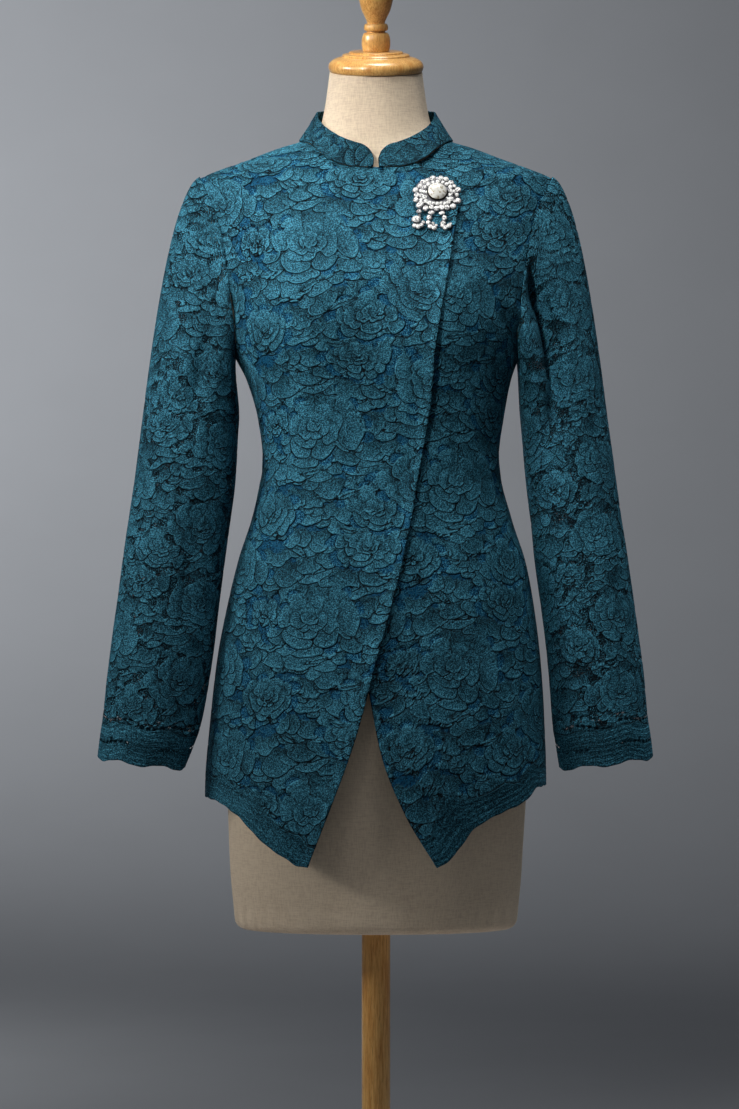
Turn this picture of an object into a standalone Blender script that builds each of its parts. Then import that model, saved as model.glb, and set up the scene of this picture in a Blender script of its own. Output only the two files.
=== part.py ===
"""Lace kebaya blouse with a stand collar and a crossed front, on a limbless dress form with its stand.

Metres, +Z up. The front faces -Y and the wearer's left side is at +X. The origin is on the floor, under
the middle of the stand. Every cloth piece is an open sheet on one smooth body surface, thickened outwards.
An angle on the body is 0 at centre front, 90 degrees at the wearer's left and 180 degrees at centre back.
"""

import math

import bmesh
import bpy
import numpy as np
from mathutils import Matrix, Vector

# Cloth
WALL = 0.0016
SEAM_GAP = 0.0003
LAP_GAP = 0.0013
LAP_START = math.radians(56)
LAP_END = math.radians(26)

# Widths of the worn cloth: height, sideways middle, half width.
WIDTHS = (
    (0.560, 0.000, 0.1710),
    (0.640, 0.000, 0.1770),
    (0.720, 0.001, 0.1785),
    (0.793, 0.002, 0.1745),
    (0.856, 0.003, 0.1690),
    (0.919, 0.005, 0.1590),
    (0.961, 0.006, 0.1497),
    (1.003, 0.006, 0.1360),
    (1.045, 0.005, 0.1260),
    (1.070, 0.005, 0.1234),
    (1.108, 0.005, 0.1280),
    (1.150, 0.003, 0.1380),
    (1.176, 0.001, 0.1490),
    (1.220, 0.000, 0.1630),
    (1.270, 0.000, 0.1730),
    (1.320, 0.000, 0.1810),
    (1.350, 0.000, 0.1870),
    (1.358, 0.000, 0.1870),
    (1.3625, 0.000, 0.1800),
    (1.3705, 0.000, 0.1600),
    (1.381, 0.000, 0.1310),
    (1.3915, 0.000, 0.1030),
    (1.3985, 0.000, 0.0800),
    (1.408, 0.000, 0.0670),
    (1.425, 0.000, 0.0585),
    (1.490, 0.000, 0.0490),
)

# Depths of the worn cloth: height, depth to the front, depth to the back, power of its rounded section.
DEPTHS = (
    (0.560, 0.102, 0.113, 2.20),
    (0.640, 0.107, 0.121, 2.20),
    (0.720, 0.110, 0.127, 2.20),
    (0.820, 0.107, 0.126, 2.20),
    (0.920, 0.098, 0.110, 2.20),
    (1.000, 0.089, 0.088, 2.20),
    (1.065, 0.085, 0.077, 2.20),
    (1.130, 0.093, 0.083, 2.25),
    (1.200, 0.105, 0.095, 2.35),
    (1.265, 0.099, 0.099, 2.40),
    (1.320, 0.079, 0.092, 2.40),
    (1.355, 0.0625, 0.082, 2.35),
    (1.375, 0.0550, 0.0735, 2.25),
    (1.3985, 0.0510, 0.0610, 2.15),
    (1.425, 0.0495, 0.0535, 2.10),
    (1.490, 0.0465, 0.0475, 2.05),
)

# Bust: sideways place, height, rise and spread of each soft crown.
BUST_X = 0.086
BUST_HEIGHT = 1.207
BUST_RISE = 0.0135
BUST_SPREAD = 0.055

# Ease between the dress form and the cloth: height, ease.
EASE = (
    (0.560, 0.0240),
    (0.720, 0.0200),
    (0.800, 0.0110),
    (0.880, 0.0045),
    (1.000, 0.0035),
    (1.200, 0.0035),
    (1.300, 0.0020),
    (1.340, 0.0016),
    (1.365, 0.0014),
    (1.390, 0.0009),
    (1.500, 0.0009),
)

# Armholes, in body angle from the side seam
UNDERARM_HEIGHT = 1.176
SHOULDER_HEIGHT = 1.3605
ARMHOLE_FRONT = math.radians(29)
ARMHOLE_BACK = math.radians(26)
ARMHOLE_SQUARENESS = 0.6
ARMHOLE_STEPS = 12

# Neck seam seen from above
NECK_HALF = 0.0785
NECK_FRONT = 0.0580
NECK_BACK = 0.0570
NECK_POWER_FRONT = 3.0
NECK_POWER_BACK = 2.3

# Panels: rows of the side seam and the shoulder seam, and columns across
SIDE_ROWS = 14
SHOULDER_ROWS = 5
OUTER_COLUMNS = 18
UNDER_COLUMNS = 13
BACK_COLUMNS = 22
SIDE_CROWDING = 1.4
BACK_CROWDING = 0.45

# Hem of each front, from its side seam to its point: angle in degrees, height.
OUTER_HEM = (
    (90.0, 0.7143),
    (69.0, 0.7118),
    (52.0, 0.6984),
    (44.0, 0.6839),
    (36.7, 0.6693),
    (27.8, 0.6547),
    (24.0, 0.6490),
    (20.8, 0.6484),
)
UNDER_HEM = (
    (90.0, 0.7258),
    (67.8, 0.7270),
    (57.0, 0.7134),
    (41.8, 0.6996),
    (31.7, 0.6850),
    (27.4, 0.6700),
    (22.6, 0.6545),
    (18.6, 0.6477),
)
BACK_HEM_DIP = 0.014

# Free edge of each front, from its point up to the neck seam: height, sideways place.
OUTER_EDGE = (
    (0.6484, -0.0695),
    (0.7065, -0.0490),
    (0.7780, -0.0254),
    (0.8700, -0.0040),
    (0.9610, 0.0143),
    (1.0530, 0.0325),
    (1.1150, 0.0430),
    (1.2050, 0.0630),
    (1.2840, 0.0768),
    (1.3268, 0.0834),
)
OUTER_NECK_END = 0.0400
UNDER_EDGE = (
    (0.6477, 0.0630),
    (0.7015, 0.0305),
    (0.7626, 0.0061),
    (0.8186, -0.0051),
    (0.9500, -0.0330),
    (1.1000, -0.0500),
    (1.2500, -0.0550),
    (1.3268, -0.0460),
)
UNDER_NECK_END = -0.0300

# Collar, open at centre front
COLLAR_COLUMNS = 34
COLLAR_ROWS = 2
COLLAR_OPENING = 0.0040
COLLAR_TOP_HALF = 0.0605
COLLAR_TOP_FRONT = 0.0545
COLLAR_TOP_BACK = 0.0550
COLLAR_TOP_POWER = 2.4
COLLAR_FRONT_HEIGHT = 1.3890
COLLAR_SIDE_HEIGHT = 1.4300
COLLAR_BACK_HEIGHT = 1.4400
COLLAR_CORNER = 0.0110
COLLAR_LIFT = 0.0008

# Sleeves: height, sideways centre, forward centre, half width, half depth; wearer's right, then left.
SLEEVE_RIGHT = (
    (1.105, 0.1945, -0.003, 0.0500, 0.0465),
    (1.045, 0.2000, -0.006, 0.0520, 0.0455),
    (1.003, 0.2058, -0.008, 0.0523, 0.0445),
    (0.961, 0.2116, -0.011, 0.0525, 0.0435),
    (0.919, 0.2169, -0.014, 0.0525, 0.0420),
    (0.877, 0.2222, -0.017, 0.0530, 0.0405),
    (0.835, 0.2278, -0.020, 0.0525, 0.0390),
    (0.793, 0.2340, -0.023, 0.0505, 0.0365),
    (0.772, 0.2390, -0.025, 0.0485, 0.0350),
    (0.750, 0.2446, -0.026, 0.0455, 0.0335),
)
SLEEVE_LEFT = (
    (1.105, 0.1975, -0.003, 0.0450, 0.0465),
    (1.045, 0.2042, -0.006, 0.0465, 0.0455),
    (1.003, 0.2095, -0.008, 0.0468, 0.0445),
    (0.961, 0.2148, -0.011, 0.0480, 0.0435),
    (0.919, 0.2206, -0.014, 0.0480, 0.0420),
    (0.877, 0.2260, -0.017, 0.0482, 0.0405),
    (0.835, 0.2305, -0.020, 0.0490, 0.0390),
    (0.793, 0.2338, -0.023, 0.0492, 0.0365),
    (0.772, 0.2369, -0.025, 0.0492, 0.0350),
    (0.750, 0.2398, -0.026, 0.0488, 0.0335),
)
SLEEVE_LEAN = math.radians(7.0)
SLEEVE_SIDES = 2 * ARMHOLE_STEPS
CAP_ROWS = 9
TUBE_ROWS = 8
CAP_LEAVES = 0.024
CAP_DROPS_OUTSIDE = 0.160
CAP_DROPS_INSIDE = 0.030
CUFF_WAVES = 6
CUFF_WAVE = 0.0018

# Long soft folds down the front of a sleeve: turn in degrees, middle height, half length, half width, depth.
FOLDS_RIGHT = (
    (97.0, 1.120, 0.110, 17.0, 0.0050),
    (112.0, 0.960, 0.080, 16.0, 0.0030),
    (262.0, 1.060, 0.120, 20.0, 0.0040),
)
FOLDS_LEFT = (
    (108.0, 1.145, 0.085, 16.0, 0.0095),
    (84.0, 0.980, 0.090, 18.0, 0.0030),
    (258.0, 1.090, 0.110, 20.0, 0.0045),
)

# Dress form
FORM_BOTTOM = 0.575
FORM_EDGE = 0.010
FORM_SIDES = 28
NECK_TOP = 1.4735
NECK_TILT = math.radians(13)
NECK_TILT_START = 1.420

# Turned neck cap and finial, along the tilted neck axis: radius, height over the neck.
CAP_PROFILE = (
    (0.0000, 0.0214),
    (0.0290, 0.0214),
    (0.0310, 0.0205),
    (0.0330, 0.0180),
    (0.0360, 0.0167),
    (0.0455, 0.0125),
    (0.0500, 0.0080),
    (0.0500, 0.0040),
    (0.0480, 0.0000),
    (0.0000, 0.0000),
)
FINIAL_PROFILE = (
    (0.0000, 0.0880),
    (0.0060, 0.0868),
    (0.0115, 0.0830),
    (0.0160, 0.0765),
    (0.0187, 0.0680),
    (0.0190, 0.0620),
    (0.0182, 0.0555),
    (0.0152, 0.0428),
    (0.0112, 0.0342),
    (0.0093, 0.0290),
    (0.0118, 0.0262),
    (0.0127, 0.0230),
    (0.0111, 0.0206),
    (0.0111, 0.0194),
    (0.0137, 0.0158),
    (0.0150, 0.0105),
    (0.0148, 0.0060),
    (0.0139, 0.0000),
    (0.0000, 0.0000),
)
TURNED_SIDES = 24

# Stand
POLE_RADIUS = 0.0150
BASE_RADIUS = 0.1700
BASE_PROFILE = (
    (0.0000, 0.0360),
    (0.0240, 0.0360),
    (0.0280, 0.0330),
    (0.0600, 0.0265),
    (0.1560, 0.0215),
    (0.1670, 0.0170),
    (BASE_RADIUS, 0.0100),
    (BASE_RADIUS, 0.0000),
    (0.0000, 0.0000),
)

# Brooch: its middle on the outer front, and turned tiers of radius, height over the cloth.
BROOCH_X = 0.0610
BROOCH_HEIGHT = 1.3400
BROOCH_LIFT = 0.0005
BROOCH_TALL = 0.87
BROOCH_SET_DOWN = 0.0034
BROOCH_PROFILE = (
    (0.0000, 0.0062),
    (0.0060, 0.0056),
    (0.0090, 0.0038),
    (0.0100, 0.0030),
    (0.0165, 0.0030),
    (0.0180, 0.0022),
    (0.0237, 0.0022),
    (0.0237, 0.0000),
    (0.0000, 0.0000),
)
BROOCH_SIDES = 32
WIRE = 0.00035
RING = 0.0011
RING_WIRE = 0.00035
BAIL_HALF = 0.0012
BAIL_LIFT = 0.0024
RING_ROOM = 0.0017

# Drops: name, hinge across and up from the brooch's middle, top stone's radius.
DROPS = (
    ("brooch_drop_right", -0.0180, -0.0241, 0.0031),
    ("brooch_drop_middle", -0.0055, -0.0258, 0.0027),
    ("brooch_drop_left", 0.0060, -0.0262, 0.0027),
)

COLOURS = {
    "lace": (0.020, 0.105, 0.145, 1.0),
    "linen": (0.720, 0.600, 0.450, 1.0),
    "oak": (0.600, 0.330, 0.110, 1.0),
    "silver": (0.850, 0.850, 0.870, 1.0),
}


def clear_scene():
    for item in list(bpy.data.objects):
        bpy.data.objects.remove(item, do_unlink=True)


def material(name, colour, roughness, metallic=0.0):
    made = bpy.data.materials.new(name)
    made.use_nodes = True
    shader = made.node_tree.nodes["Principled BSDF"]
    shader.inputs["Base Color"].default_value = COLOURS[colour]
    shader.inputs["Roughness"].default_value = roughness
    shader.inputs["Metallic"].default_value = metallic
    return made


def new_object(name, mesh, parts, finish):
    thing = bpy.data.objects.new(name, mesh)
    parts.objects.link(thing)
    thing.data.materials.append(finish)
    return thing


# Body surface


def careful_tangents(steps, slopes):
    """Tangents of a cubic that never overshoots its rows."""
    product = slopes[:-1] * slopes[1:]
    total = np.where(product > 0, slopes[:-1] + slopes[1:], 1.0)
    inner = np.where(product > 0, 2 * product / total, 0.0)
    return np.vstack([slopes[:1], inner, slopes[-1:]])


def smooth_tangents(steps, slopes):
    """Tangents of a cubic whose curvature is continuous, straight at its ends."""
    count = len(slopes) + 1
    matrix = np.eye(count) * 2
    matrix[0, 1] = matrix[-1, -2] = 1
    goal = np.zeros((count, slopes.shape[1]))
    goal[0] = 3 * slopes[0]
    goal[-1] = 3 * slopes[-1]
    for row in range(1, count - 1):
        before, after = steps[row - 1, 0], steps[row, 0]
        matrix[row, row - 1] = after / (before + after)
        matrix[row, row + 1] = before / (before + after)
        goal[row] = 3 * (after * slopes[row - 1] + before * slopes[row]) / (before + after)
    return np.linalg.solve(matrix, goal)


def columns(table, heights, tangents_of=careful_tangents):
    """The columns of a table at any heights, by a cubic through its rows."""
    rows = np.array(table)
    knots = rows[:, 0]
    values = rows[:, 1:]
    steps = np.diff(knots)[:, None]
    tangents = tangents_of(steps, np.diff(values, axis=0) / steps)
    heights = np.clip(np.asarray(heights, float), knots[0], knots[-1])
    row = np.clip(np.searchsorted(knots, heights, side="right") - 1, 0, len(knots) - 2)
    width = steps[row]
    t = (heights - knots[row])[..., None] / width
    value = (2 * t**3 - 3 * t**2 + 1) * values[row] + (3 * t**2 - 2 * t**3) * values[row + 1]
    value += width * ((t**3 - 2 * t**2 + t) * tangents[row] + (t**3 - t**2) * tangents[row + 1])
    return np.moveaxis(value, -1, 0)


def section_depths(heights):
    return columns(DEPTHS, heights, smooth_tangents)


def smooth_step(value):
    value = np.clip(value, 0.0, 1.0)
    return value * value * (3 - 2 * value)


def outer_face(angle, height):
    """Points on the outer face of the worn cloth."""
    mid, half = columns(WIDTHS, height)
    front, back, power = section_depths(height)
    side = np.sin(angle)
    ahead = np.cos(angle)
    x = mid + half * np.sign(side) * np.abs(side) ** (2 / power)
    y = np.where(ahead > 0, -front, back) * np.abs(ahead) ** (2 / power)
    away = ((np.abs(x) - BUST_X) ** 2 + (height - BUST_HEIGHT) ** 2) / BUST_SPREAD**2
    y = y - BUST_RISE * np.clip(ahead, 0, 1) * np.exp(-away)
    return np.stack([x, y, height + 0 * x], axis=-1)


def face_normal(angle, height):
    turn = 0.002
    rise = 0.0005
    along = outer_face(angle + turn, height) - outer_face(angle - turn, height)
    up = outer_face(angle, height + rise) - outer_face(angle, height - rise)
    normal = np.cross(along, up)
    return normal / np.linalg.norm(normal, axis=-1, keepdims=True)


def cloth_point(angle, height, lift=0.0):
    """Points that stand a given lift outside the cloth's outer face; a negative lift lies inside it."""
    angle, height, lift = np.broadcast_arrays(angle, height, lift)
    return outer_face(angle, height) + face_normal(angle, height) * lift[..., None]


def seam_angle(height, facing):
    """The body angle just ahead of (facing 1) or behind (facing -1) the side and shoulder seam."""
    front, back, power = section_depths(height)
    depth = front if facing > 0 else back
    return math.pi / 2 - facing * np.arcsin((SEAM_GAP / 2 / depth) ** (power / 2))


def angle_at(x, height):
    """The body angle at a sideways place on the front."""
    mid, half = columns(WIDTHS, height)
    power = section_depths(height)[2]
    reach = np.clip(np.abs(x - mid) / half, 0, 1)
    return np.sign(x - mid) * np.arcsin(reach ** (power / 2))


def neck_seam(turn):
    """Body angle and height of the neck seam; turn runs round it as seen from above, 0 at centre front."""
    side = np.sin(turn)
    ahead = np.cos(turn)
    power = np.where(ahead > 0, NECK_POWER_FRONT, NECK_POWER_BACK)
    x = NECK_HALF * np.sign(side) * np.abs(side) ** (2 / power)
    depth = np.where(ahead > 0, NECK_FRONT, NECK_BACK)
    y = depth * np.abs(ahead) ** (2 / power)
    low = np.full(np.shape(turn), 1.350)
    high = np.full(np.shape(turn), 1.450)
    for _ in range(40):
        height = (low + high) / 2
        half = columns(WIDTHS, height)[1]
        front, back, shape = section_depths(height)
        reach = (np.abs(x) / half) ** shape + (y / np.where(ahead > 0, front, back)) ** shape
        low = np.where(reach < 1, height, low)
        high = np.where(reach < 1, high, height)
    angle = np.arctan2((np.abs(x) / half) ** (shape / 2), (y / np.where(ahead > 0, front, back)) ** (shape / 2))
    angle = np.where(ahead > 0, angle, math.pi - angle)
    return np.sign(side) * angle, height


def armhole(turn):
    """Body angle and height round the left armhole: turn 0 at the shoulder, 90 degrees at the front."""
    middle = (SHOULDER_HEIGHT + UNDERARM_HEIGHT) / 2
    height = middle + (SHOULDER_HEIGHT - UNDERARM_HEIGHT) / 2 * np.cos(turn)
    across = np.sin(turn)
    reach = np.where(across > 0, ARMHOLE_FRONT, -ARMHOLE_BACK) * np.abs(across) ** ARMHOLE_SQUARENESS
    return math.pi / 2 - reach, height


def lap_lift(angle):
    """How far the outer front's wall is lifted over the under front's."""
    return (WALL + LAP_GAP) * smooth_step((LAP_START + angle) / (LAP_START - LAP_END))


# Cloth panels


def fill(bottom, top, left, right, spacing):
    """A grid of (angle, height) points that blends four edges; spacing is each column's share across."""
    across = spacing[None, :, None]
    up = np.linspace(0, 1, len(left))[:, None, None]
    grid = (1 - up) * bottom[None] + up * top[None] + (1 - across) * left[:, None] + across * right[:, None]
    corners = (1 - across) * (1 - up) * bottom[0] + across * (1 - up) * bottom[-1]
    return grid - corners - (1 - across) * up * top[0] - across * up * top[-1]


def pairs(angle, height):
    return np.stack(np.broadcast_arrays(angle, height), axis=-1).astype(float)


def side_edge(facing, hem_height, neck_height):
    """Side seam, armhole and shoulder seam of the left side, from the hem up to the neck."""
    side = np.linspace(hem_height, UNDERARM_HEIGHT, SIDE_ROWS + 1)
    turns = np.linspace(math.pi, 0, ARMHOLE_STEPS + 1)[1:-1] * facing
    hole_angle, hole_height = armhole(turns)
    shoulder = np.linspace(SHOULDER_HEIGHT, neck_height, SHOULDER_ROWS + 1)
    return np.vstack([
        pairs(seam_angle(side, facing), side),
        pairs(hole_angle, hole_height),
        pairs(seam_angle(shoulder, facing), shoulder),
    ])


def free_edge(edge, neck_end):
    """The free edge of a front, from its point up to the neck seam, with as many rows as its side edge."""
    knots = np.array(edge)
    low = np.linspace(knots[0, 0], UNDERARM_HEIGHT - 0.010, SIDE_ROWS + 1)
    high = np.linspace(UNDERARM_HEIGHT - 0.010, knots[-1, 0], ARMHOLE_STEPS + 1)[1:]
    heights = np.concatenate([low, high])
    x = columns(edge, heights)[0]
    neck_angle, neck_height = neck_end
    last = pairs(angle_at(x[-1], heights[-1]), heights[-1])
    rest = np.linspace(0, 1, SHOULDER_ROWS + 1)[1:, None]
    to_neck = (1 - rest) * last + rest * pairs(neck_angle, neck_height)
    return np.vstack([pairs(angle_at(x, heights), heights), to_neck])


def neck_turn(x):
    """Turn round the neck seam where its front crosses a sideways place."""
    return math.copysign(math.asin((abs(x) / NECK_HALF) ** (NECK_POWER_FRONT / 2)), x)


def hem_edge(hem, spacing):
    """A front's hem from its side seam to its point."""
    rows = np.array(hem)[::-1] * [math.radians(1), 1]
    angles = rows[-1, 0] + (rows[0, 0] - rows[-1, 0]) * spacing
    return pairs(angles, columns(rows, angles)[0])


def front_grid(hem, edge, neck_x, columns_across):
    """(angle, height) grid of a front whose side seam is on the wearer's left."""
    spacing = np.linspace(0, 1, columns_across + 1) ** SIDE_CROWDING
    turns = math.pi / 2 + (neck_turn(neck_x) - math.pi / 2) * spacing
    top = pairs(*neck_seam(turns))
    top[0, 0] = seam_angle(top[0, 1], 1)
    left = side_edge(1, hem[0][1], top[0, 1])
    bottom = hem_edge(hem, spacing)
    bottom[0, 0] = left[0, 0]
    right = free_edge(edge, top[-1])
    bottom[-1] = right[0]
    return fill(bottom, top, left, right, spacing)


def back_grid():
    """(angle, height) grid of the back, from the wearer's left side round to the right."""
    even = np.linspace(0, 1, BACK_COLUMNS + 1)
    spacing = even - BACK_CROWDING * np.sin(2 * math.pi * even) / (2 * math.pi)
    turns = math.pi / 2 + math.pi * spacing
    top_angle, top_height = neck_seam(turns)
    top = pairs(np.where(top_angle < 0, top_angle + 2 * math.pi, top_angle), top_height)
    left = side_edge(-1, UNDER_HEM[0][1], top_height[0])
    right = side_edge(-1, OUTER_HEM[0][1], top_height[-1])
    right[:, 0] = 2 * math.pi - right[:, 0]
    top[0] = left[-1]
    top[-1] = right[-1]
    ends = (1 - spacing)[:, None] * left[0] + spacing[:, None] * right[0]
    bottom = ends - pairs(0.0, BACK_HEM_DIP * np.sin(math.pi * spacing))
    return fill(bottom, top, left, right, spacing)


def sheet(name, points, parts, finish, closed=False, flip=False):
    """A wall of cloth on a grid of inner points, thickened outwards."""
    rows, across = points.shape[:2]
    mesh = bpy.data.meshes.new(name)
    edit = bmesh.new()
    spots = [[edit.verts.new(point) for point in row] for row in points.tolist()]
    for row in range(rows - 1):
        for column in range(across if closed else across - 1):
            beside = (column + 1) % across
            corner = [spots[row][column], spots[row][beside], spots[row + 1][beside], spots[row + 1][column]]
            edit.faces.new(corner[::-1] if flip else corner)
    edit.to_mesh(mesh)
    edit.free()
    mesh.shade_smooth()
    piece = new_object(name, mesh, parts, finish)
    wall = piece.modifiers.new("Wall", "SOLIDIFY")
    wall.thickness = WALL
    wall.offset = 1.0
    return piece


def make_fronts(parts, finish):
    under = front_grid(UNDER_HEM, UNDER_EDGE, UNDER_NECK_END, UNDER_COLUMNS)
    points = cloth_point(under[..., 0], under[..., 1], -WALL)
    sheet("front_left_under", points, parts, finish, flip=True)

    mirrored_edge = [(height, -x) for height, x in OUTER_EDGE]
    outer = front_grid(OUTER_HEM, mirrored_edge, -OUTER_NECK_END, OUTER_COLUMNS)
    angle = -outer[..., 0]
    points = cloth_point(angle, outer[..., 1], lap_lift(angle) - WALL)
    sheet("front_right_outer", points, parts, finish)


def make_back(parts, finish):
    grid = back_grid()
    sheet("back", cloth_point(grid[..., 0], grid[..., 1], -WALL), parts, finish)


def make_collar(parts, finish):
    """A stand collar: one curved band from the front opening round the neck and back to it."""
    first = neck_turn(COLLAR_OPENING)
    base_turns = np.linspace(first, 2 * math.pi - first, COLLAR_COLUMNS + 1)
    base_angle, base_height = neck_seam(base_turns)
    over_outer = lap_lift(base_angle) * smooth_step((math.radians(38) - base_angle) / math.radians(14))
    base = cloth_point(base_angle, base_height, over_outer + COLLAR_LIFT)
    side = np.sin(base_turns)
    ahead = np.cos(base_turns)
    x = COLLAR_TOP_HALF * np.sign(side) * np.abs(side) ** (2 / COLLAR_TOP_POWER)
    depth = np.where(ahead > 0, -COLLAR_TOP_FRONT, COLLAR_TOP_BACK)
    y = depth * np.abs(ahead) ** (2 / COLLAR_TOP_POWER)
    rise = COLLAR_SIDE_HEIGHT - COLLAR_FRONT_HEIGHT
    to_front = np.clip(1 + y / COLLAR_TOP_FRONT, 0, 1)
    height = COLLAR_FRONT_HEIGHT + rise * to_front**0.7
    height += (COLLAR_BACK_HEIGHT - COLLAR_SIDE_HEIGHT) * np.clip(y / COLLAR_TOP_BACK, 0, 1)
    top = np.stack([x, y, height], axis=-1)
    from_end = np.minimum(base_turns - first, 2 * math.pi - first - base_turns) * COLLAR_TOP_FRONT
    round_off = np.sqrt(1 - np.clip(1 - from_end / COLLAR_CORNER, 0, 1) ** 2)
    full = 0.45 + 0.55 * round_off
    up = np.linspace(0, 1, COLLAR_ROWS + 1)[:, None, None] * full[None, :, None]
    sheet("collar", (1 - up) * base[None] + up * top[None], parts, finish)


# Sleeves


def sleeve_ring(table, height, turn):
    """A round section of a left sleeve, square to its lean."""
    x, y, half_width, half_depth = columns(table[::-1], height)
    across = half_width * np.cos(turn)
    ahead = half_depth * np.sin(turn)
    return np.stack([
        x + across * math.cos(SLEEVE_LEAN),
        y - ahead,
        height + across * math.sin(SLEEVE_LEAN),
    ], axis=-1)


def fold_depth(folds, turn, height):
    """How far the folds draw the cloth in towards the middle of the sleeve."""
    depth = np.zeros(np.broadcast(turn, height).shape)
    for middle, level, half_length, half_width, deep in folds:
        across = (np.degrees(turn) - middle) / half_width
        along = (height - level) / half_length
        depth += deep * np.exp(-(across**2)) * np.exp(-(along**2) * 1.5)
    return depth


def sleeve_points(table, folds, side):
    """Inner points of a sleeve: a cap that leaves the armhole and turns down, then a slanted tube."""
    turn = np.linspace(0, 2 * math.pi, SLEEVE_SIDES, endpoint=False)
    outside = (1 + np.cos(turn)) / 2
    angle, height = armhole(np.where(turn > math.pi, turn - 2 * math.pi, turn))
    lift = SEAM_GAP + (WALL + SEAM_GAP) * smooth_step(1 - 2 * outside)
    start = cloth_point(angle, height, lift)
    end = sleeve_ring(table, table[0][0], turn)
    down = np.array([0.0, 0.0, -1.0])
    out = np.array([0.91, 0.0, -0.41])
    leave = outside[:, None] * out + (1 - outside)[:, None] * down
    leave /= np.linalg.norm(leave, axis=-1, keepdims=True)
    back_up = np.array([-math.sin(SLEEVE_LEAN), 0.0, math.cos(SLEEVE_LEAN)])
    drop = CAP_DROPS_INSIDE + (CAP_DROPS_OUTSIDE - CAP_DROPS_INSIDE) * outside
    first = start + leave * CAP_LEAVES
    second = end + back_up * drop[:, None]
    t = (np.linspace(0, 1, CAP_ROWS + 1) ** 1.15)[:, None, None]
    cap = (1 - t) ** 3 * start + 3 * t * (1 - t) ** 2 * first + 3 * t**2 * (1 - t) * second + t**3 * end
    heights = np.linspace(table[0][0], table[-1][0], TUBE_ROWS + 1)[1:]
    tube = np.stack([sleeve_ring(table, level, turn) for level in heights])
    tube[-1, :, 2] += CUFF_WAVE * np.cos(CUFF_WAVES * turn)
    points = np.concatenate([cap, tube])
    middles = points.mean(axis=1, keepdims=True)
    outward = points - middles
    outward[..., 2] = 0
    outward /= np.linalg.norm(outward, axis=-1, keepdims=True)
    inset = WALL + fold_depth(folds, turn, points[..., 2])
    points = points - inset[..., None] * outward * ease_in(len(points))
    return points * [side, 1, 1]


def ease_in(rows):
    """0 at the armhole and 1 from the fourth ring of a sleeve on."""
    return smooth_step(np.arange(rows) / 3)[:, None, None]


def make_sleeves(parts, finish):
    sheet("sleeve_left", sleeve_points(SLEEVE_LEFT, FOLDS_LEFT, 1), parts, finish, closed=True)
    sheet("sleeve_right", sleeve_points(SLEEVE_RIGHT, FOLDS_RIGHT, -1), parts, finish, closed=True, flip=True)


# Dress form and stand


def make_form(parts, finish):
    """The smooth torso and neck that fill the blouse, as one loft with flat ends."""
    turn = np.linspace(-math.pi, math.pi, FORM_SIDES, endpoint=False)
    levels = np.concatenate([
        [FORM_BOTTOM, FORM_BOTTOM + 0.25 * FORM_EDGE, FORM_BOTTOM + FORM_EDGE],
        np.linspace(0.640, 1.320, 15),
        [1.342, 1.355, 1.361, 1.367, 1.375, 1.385, 1.3925, 1.3985, 1.408, NECK_TILT_START, 1.445, NECK_TOP],
    ])
    pulled_in = {0: FORM_EDGE, 1: 0.4 * FORM_EDGE}
    rings = []
    for row, level in enumerate(levels):
        ease = columns(EASE, level)[0] + pulled_in.get(row, 0.0)
        ring = cloth_point(turn, level, -WALL - ease)
        if row < 3:
            ring[:, 2] = level
        rings.append(ring)
    points = np.stack(rings)
    tilt = np.clip((levels - NECK_TILT_START) / (NECK_TOP - NECK_TILT_START), 0, 1)[:, None]
    points[..., 2] += tilt * points[..., 1] * math.tan(NECK_TILT)
    edit = bmesh.new()
    spots = [[edit.verts.new(point) for point in ring] for ring in points.tolist()]
    for low, high in zip(spots, spots[1:]):
        for column in range(FORM_SIDES):
            beside = (column + 1) % FORM_SIDES
            edit.faces.new((low[column], low[beside], high[beside], high[column]))
    edit.faces.new(spots[0][::-1])
    edit.faces.new(spots[-1])
    mesh = bpy.data.meshes.new("dress_form")
    edit.to_mesh(mesh)
    edit.free()
    mesh.shade_smooth()
    new_object("dress_form", mesh, parts, finish)


def turned(name, profile, sides, parts, finish):
    """A solid turned from a profile of (radius, height) rows, listed from its top to its bottom."""
    mesh = bpy.data.meshes.new(name)
    rows = [(radius, 0.0, height) for radius, height in profile]
    mesh.from_pydata(rows, [(row, row + 1) for row in range(len(rows) - 1)], [])
    thing = new_object(name, mesh, parts, finish)
    screw = thing.modifiers.new("Turn", "SCREW")
    screw.steps = sides
    screw.render_steps = sides
    screw.use_merge_vertices = True
    screw.merge_threshold = 0.0001
    return thing


def make_neck_block(parts, finish):
    """The wooden cap and finial on the tilted neck."""
    tilt = Matrix.Rotation(NECK_TILT, 4, "X")
    axis = tilt @ Vector((0, 0, 1))
    foot = Vector((0, 0, NECK_TOP)) + axis * SEAM_GAP
    cap = turned("neck_cap", CAP_PROFILE, TURNED_SIDES, parts, finish)
    cap.matrix_world = Matrix.Translation(foot) @ tilt
    finial = turned("finial", FINIAL_PROFILE, TURNED_SIDES // 2 + 4, parts, finish)
    finial.matrix_world = Matrix.Translation(foot + axis * (CAP_PROFILE[0][1] + SEAM_GAP)) @ tilt


def make_stand(parts, finish):
    turned("stand_base", BASE_PROFILE, TURNED_SIDES + 4, parts, finish)
    low = BASE_PROFILE[0][1] + SEAM_GAP
    high = FORM_BOTTOM - SEAM_GAP
    bpy.ops.mesh.primitive_cylinder_add(
        vertices=TURNED_SIDES // 2 + 4, radius=POLE_RADIUS, depth=high - low, location=(0, 0, (low + high) / 2)
    )
    pole = bpy.context.object
    pole.name = "stand_pole"
    for owner in list(pole.users_collection):
        owner.objects.unlink(pole)
    parts.objects.link(pole)
    pole.data.materials.append(finish)


# Brooch


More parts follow.
